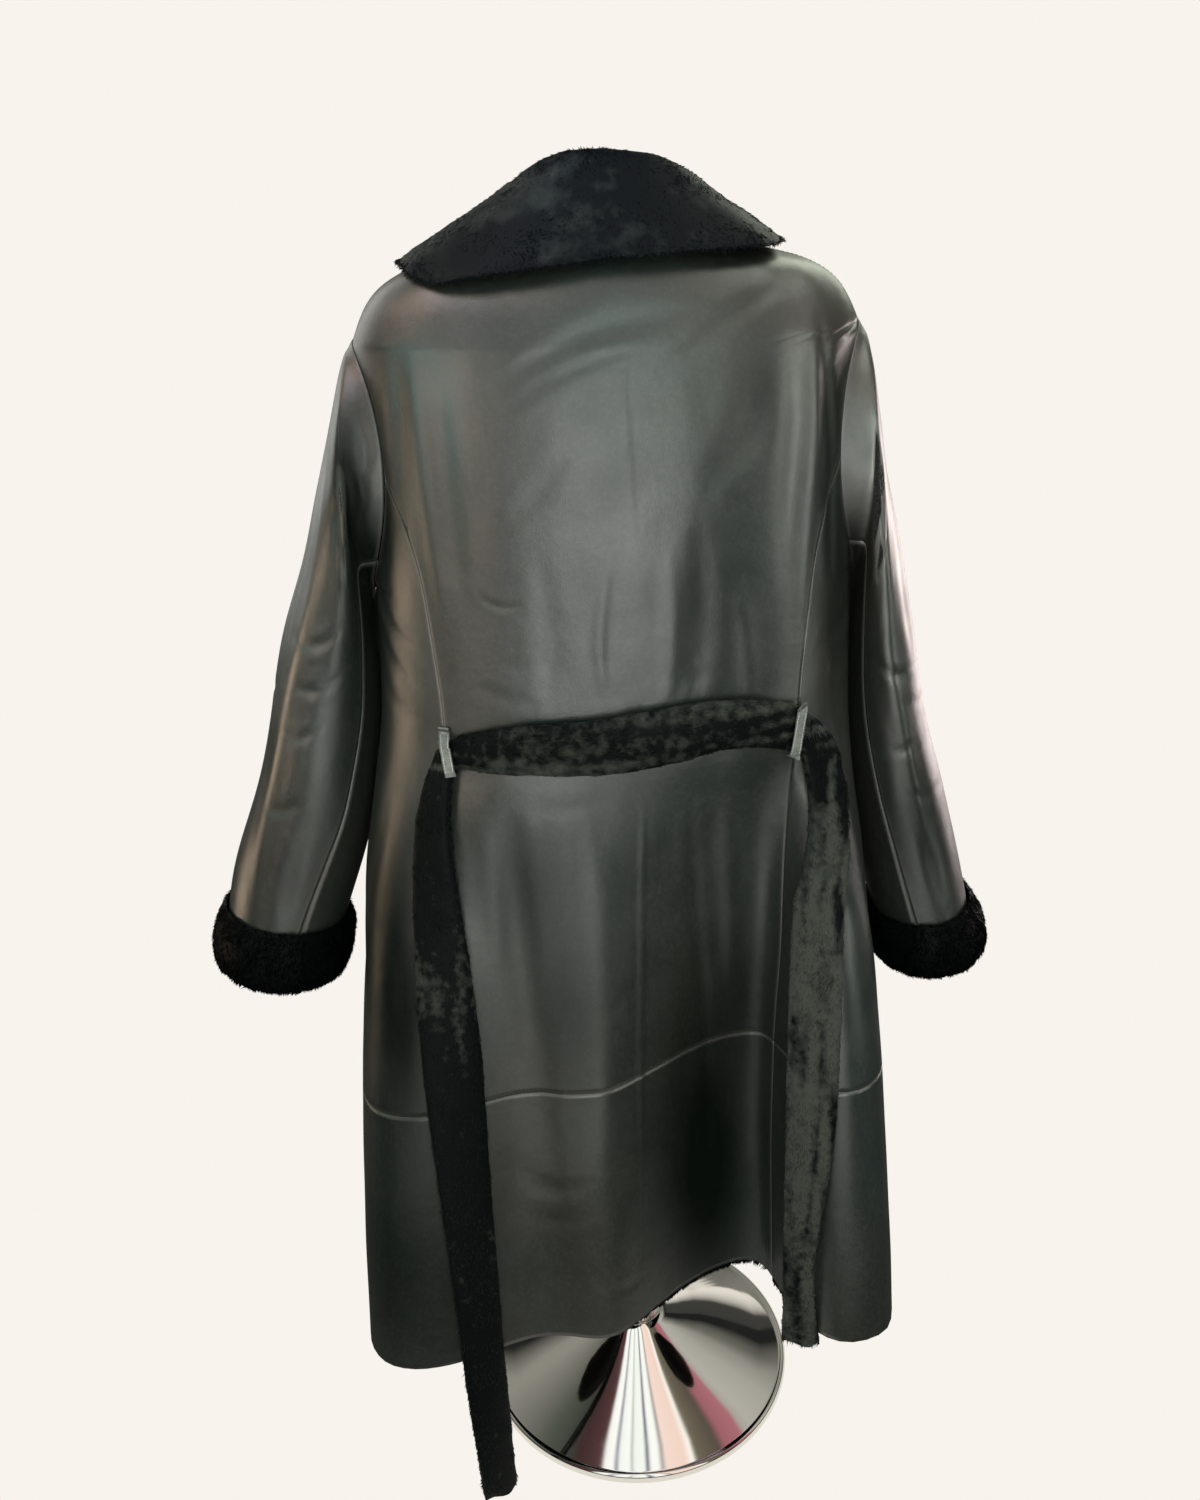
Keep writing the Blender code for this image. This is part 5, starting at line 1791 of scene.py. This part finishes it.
@dataclass(frozen=True)
class SoftBox:
    """A large soft studio light that faces the coat.

    Its turn is degrees round the stand from straight behind the coat towards the wearer's left, its rise is
    degrees above the target, and its glow is its radiance in red, green and blue.
    """

    name: str
    turn: float
    rise: float
    size: tuple[float, float]
    glow: Colour
    reach: float = 2.6
    target: tuple[float, float, float] = (0.0, 0.0, 0.75)

    def build(self) -> None:
        """Hangs the light."""
        turn, rise = math.radians(self.turn), math.radians(self.rise)
        way = Vector((math.cos(rise) * math.sin(turn), math.cos(rise) * math.cos(turn), math.sin(rise)))
        top = max(self.glow)
        data = bpy.data.lights.new(self.name, "AREA")
        data.shape = "RECTANGLE"
        data.size, data.size_y = self.size
        data.energy = top * math.pi * self.size[0] * self.size[1]
        data.color = tuple(part / top for part in self.glow)
        lamp = linked(self.name, data)
        lamp.location = Vector(self.target) + way * self.reach
        lamp.rotation_euler = way.to_track_quat("Z", "Y").to_euler()
        lamp.visible_camera = False


@dataclass(frozen=True)
class Surround:
    """The world: plain pale cream to look at, and as light a dim room under a ceiling of bright strips.

    Each strip is the turn at which it starts, in degrees from straight behind the coat towards the wearer's
    left, and its colour. Only the chrome shows the strips.
    """

    seen: Colour = (0.938, 0.896, 0.846)
    room: Colour = (0.016, 0.017, 0.016)
    ceiling: tuple[float, float] = (0.08, 0.26)
    strips: tuple[tuple[float, ...], ...] = (
        (-170, 0.20, 0.20, 0.17), (-132, 0.36, 0.35, 0.30), (-118, 0.24, 0.24, 0.20),
        (-100, 0.44, 0.43, 0.38), (-82, 0.52, 0.50, 0.45), (-77, 0.46, 0.42, 0.38),
        (-75, 0.48, 0.18, 0.21), (-63, 0.40, 0.15, 0.17), (-58, 0.11, 0.09, 0.07),
        (-41, 0.18, 0.16, 0.11), (-38, 1.20, 1.16, 1.08), (-33, 1.05, 0.80, 0.68),
        (-18, 1.10, 0.86, 0.76), (-15, 0.36, 0.33, 0.34), (-12, 1.15, 1.18, 1.10),
        (-6, 1.15, 1.18, 1.12), (-3, 0.12, 0.10, 0.20), (0, 1.10, 1.16, 1.08),
        (8, 1.05, 1.10, 1.02), (10, 0.55, 0.60, 0.56), (12, 1.15, 1.20, 1.12),
        (20, 1.05, 1.10, 1.05), (22, 0.18, 0.16, 0.26), (25, 1.20, 1.22, 1.15),
        (31, 1.10, 1.10, 1.05), (34, 0.10, 0.045, 0.045), (52, 0.06, 0.030, 0.030),
        (58, 0.05, 0.058, 0.045), (74, 0.09, 0.10, 0.08), (110, 0.30, 0.29, 0.25),
    )

    def build(self) -> World:
        """Builds the world.

        Returns:
            The world.
        """
        world = bpy.data.worlds.new("studio")
        tree = Nodes(world)
        way = tree.add("SeparateXYZ", "Z", {0: tree.add("TexCoord", "Generated")}).node.outputs
        turn = tree.add("Math", 0, {0: way["X"], 1: way["Y"]}, operation="ARCTAN2")
        ramp = tree.add("ValToRGB", "Color", {"Fac": tree.spread(turn, 0.0, 1.0, -math.pi, math.pi)})
        stops = ramp.node.color_ramp.elements
        stops.remove(stops[1])
        for number, (degrees, *colour) in enumerate(self.strips):
            stop = stops[0] if number == 0 else stops.new(0.5 + degrees / 360)
            stop.position = 0.5 + degrees / 360
            stop.color = (*colour, 1.0)
        lit = tree.blend(tree.spread(way["Z"], 0.0, 1.0, *self.ceiling), self.room, ramp)
        room = tree.add("Background", "Background", {"Color": lit})
        pale = tree.add("Background", "Background", {"Color": (*self.seen, 1.0)})
        seen = {"Fac": tree.add("LightPath", "Is Camera Ray"), 1: room, 2: pale}
        tree.feed(tree.nodes["World Output"].inputs["Surface"], tree.add("MixShader", "Shader", seen))
        return world


@dataclass
class Studio:
    """Camera, floor, surround and lights."""

    camera_place: tuple[float, float, float] = (0.0576, 1.1702, 1.3120)
    camera_turn: tuple[float, float, float] = (66.557, 1.983, 177.187)
    lens: float = 31.2
    sensor: float = 36.0
    floor: FloorFinish = FloorFinish()
    floor_radius: float = 7.0
    floor_z: float = -0.0004
    surround: Surround = Surround()
    lights: tuple[SoftBox, ...] = (
        SoftBox("behind", 0, 1, (1.15, 1.4), (6.0, 6.1, 5.7)),
        SoftBox("behind_high", -15, 25, (1.0, 1.1), (1.8, 2.5, 2.2)),
        SoftBox("left_back", 43, 8, (0.9, 1.5), (3.9, 3.3, 2.8)),
        SoftBox("left_back_high", 36, 62, (1.2, 1.0), (3.6, 3.0, 2.5)),
        SoftBox("left_cool", 63, 19, (0.7, 1.1), (1.3, 3.1, 3.0)),
        SoftBox("left_top", 62, 68, (1.1, 1.1), (1.2, 2.5, 4.2)),
        SoftBox("left_warm", 82, 52, (1.0, 1.0), (5.2, 3.6, 2.7)),
        SoftBox("left_low", 92, -9, (1.1, 1.0), (5.0, 3.8, 2.7)),
        SoftBox("left_front", 132, 20, (1.8, 2.0), (1.6, 1.6, 1.5)),
        SoftBox("right_back", -60, 8, (0.8, 1.9), (3.6, 3.8, 3.4)),
        SoftBox("right_top", -71, 60, (1.8, 1.0), (3.0, 3.2, 2.8)),
        SoftBox("right_edge", -125, -6, (1.7, 1.2), (5.2, 4.5, 4.3)),
        SoftBox("right_front", -145, 34, (1.0, 1.6), (2.4, 2.6, 2.1)),
        SoftBox("floor_board", 0, -90, (1.4, 1.3), (1.3, 1.3, 1.2), 0.6, (0.15, 1.35, 0.62)),
    )

    def build(self) -> None:
        """Sets up the camera, the floor, the world with a plain rendering of its tones, and the lights."""
        self.place_camera()
        self.lay_floor()
        bpy.context.scene.view_settings.view_transform = "Standard"
        bpy.context.scene.world = self.surround.build()
        for light in self.lights:
            light.build()

    def spare(self, pieces: Iterable[Object]) -> None:
        """Keeps the lamps off some pieces, which then mirror the surround alone.

        Args:
            pieces: The chromed pieces.
        """
        spared = bpy.data.collections.new("mirrors_surround")
        for piece in pieces:
            spared.objects.link(piece)
        for item in spared.collection_objects:
            item.light_linking.link_state = "EXCLUDE"
        for light in self.lights:
            bpy.data.objects[light.name].light_linking.receiver_collection = spared

    def place_camera(self) -> None:
        """The camera behind and above the coat."""
        data = bpy.data.cameras.new("camera")
        data.lens, data.sensor_width = self.lens, self.sensor
        camera = linked("camera", data)
        camera.location = self.camera_place
        camera.rotation_euler = Euler([math.radians(turn) for turn in self.camera_turn], "XYZ")
        bpy.context.scene.camera = camera

    def lay_floor(self) -> None:
        """A plain pale floor under the stand."""
        maker = bmesh.new()
        bmesh.ops.create_circle(maker, cap_ends=True, segments=96, radius=self.floor_radius)
        bmesh.ops.translate(maker, verts=maker.verts, vec=(0, 0, self.floor_z))
        floor = linked("floor", flattened(maker, "floor"))
        floor.data.materials.append(self.floor.build())


def main() -> None:
    """Builds the coat, what it hangs on and the studio."""
    logging.basicConfig(level=logging.INFO, format="%(message)s")
    coat = Coat()
    studio = Studio()
    studio.build()
    coat.build()
    FurTrim().build()
    Trims().build(coat.finish, coat.nap)
    DressForm().build()
    studio.spare(Stand().build())


if __name__ == "__main__":
    main()
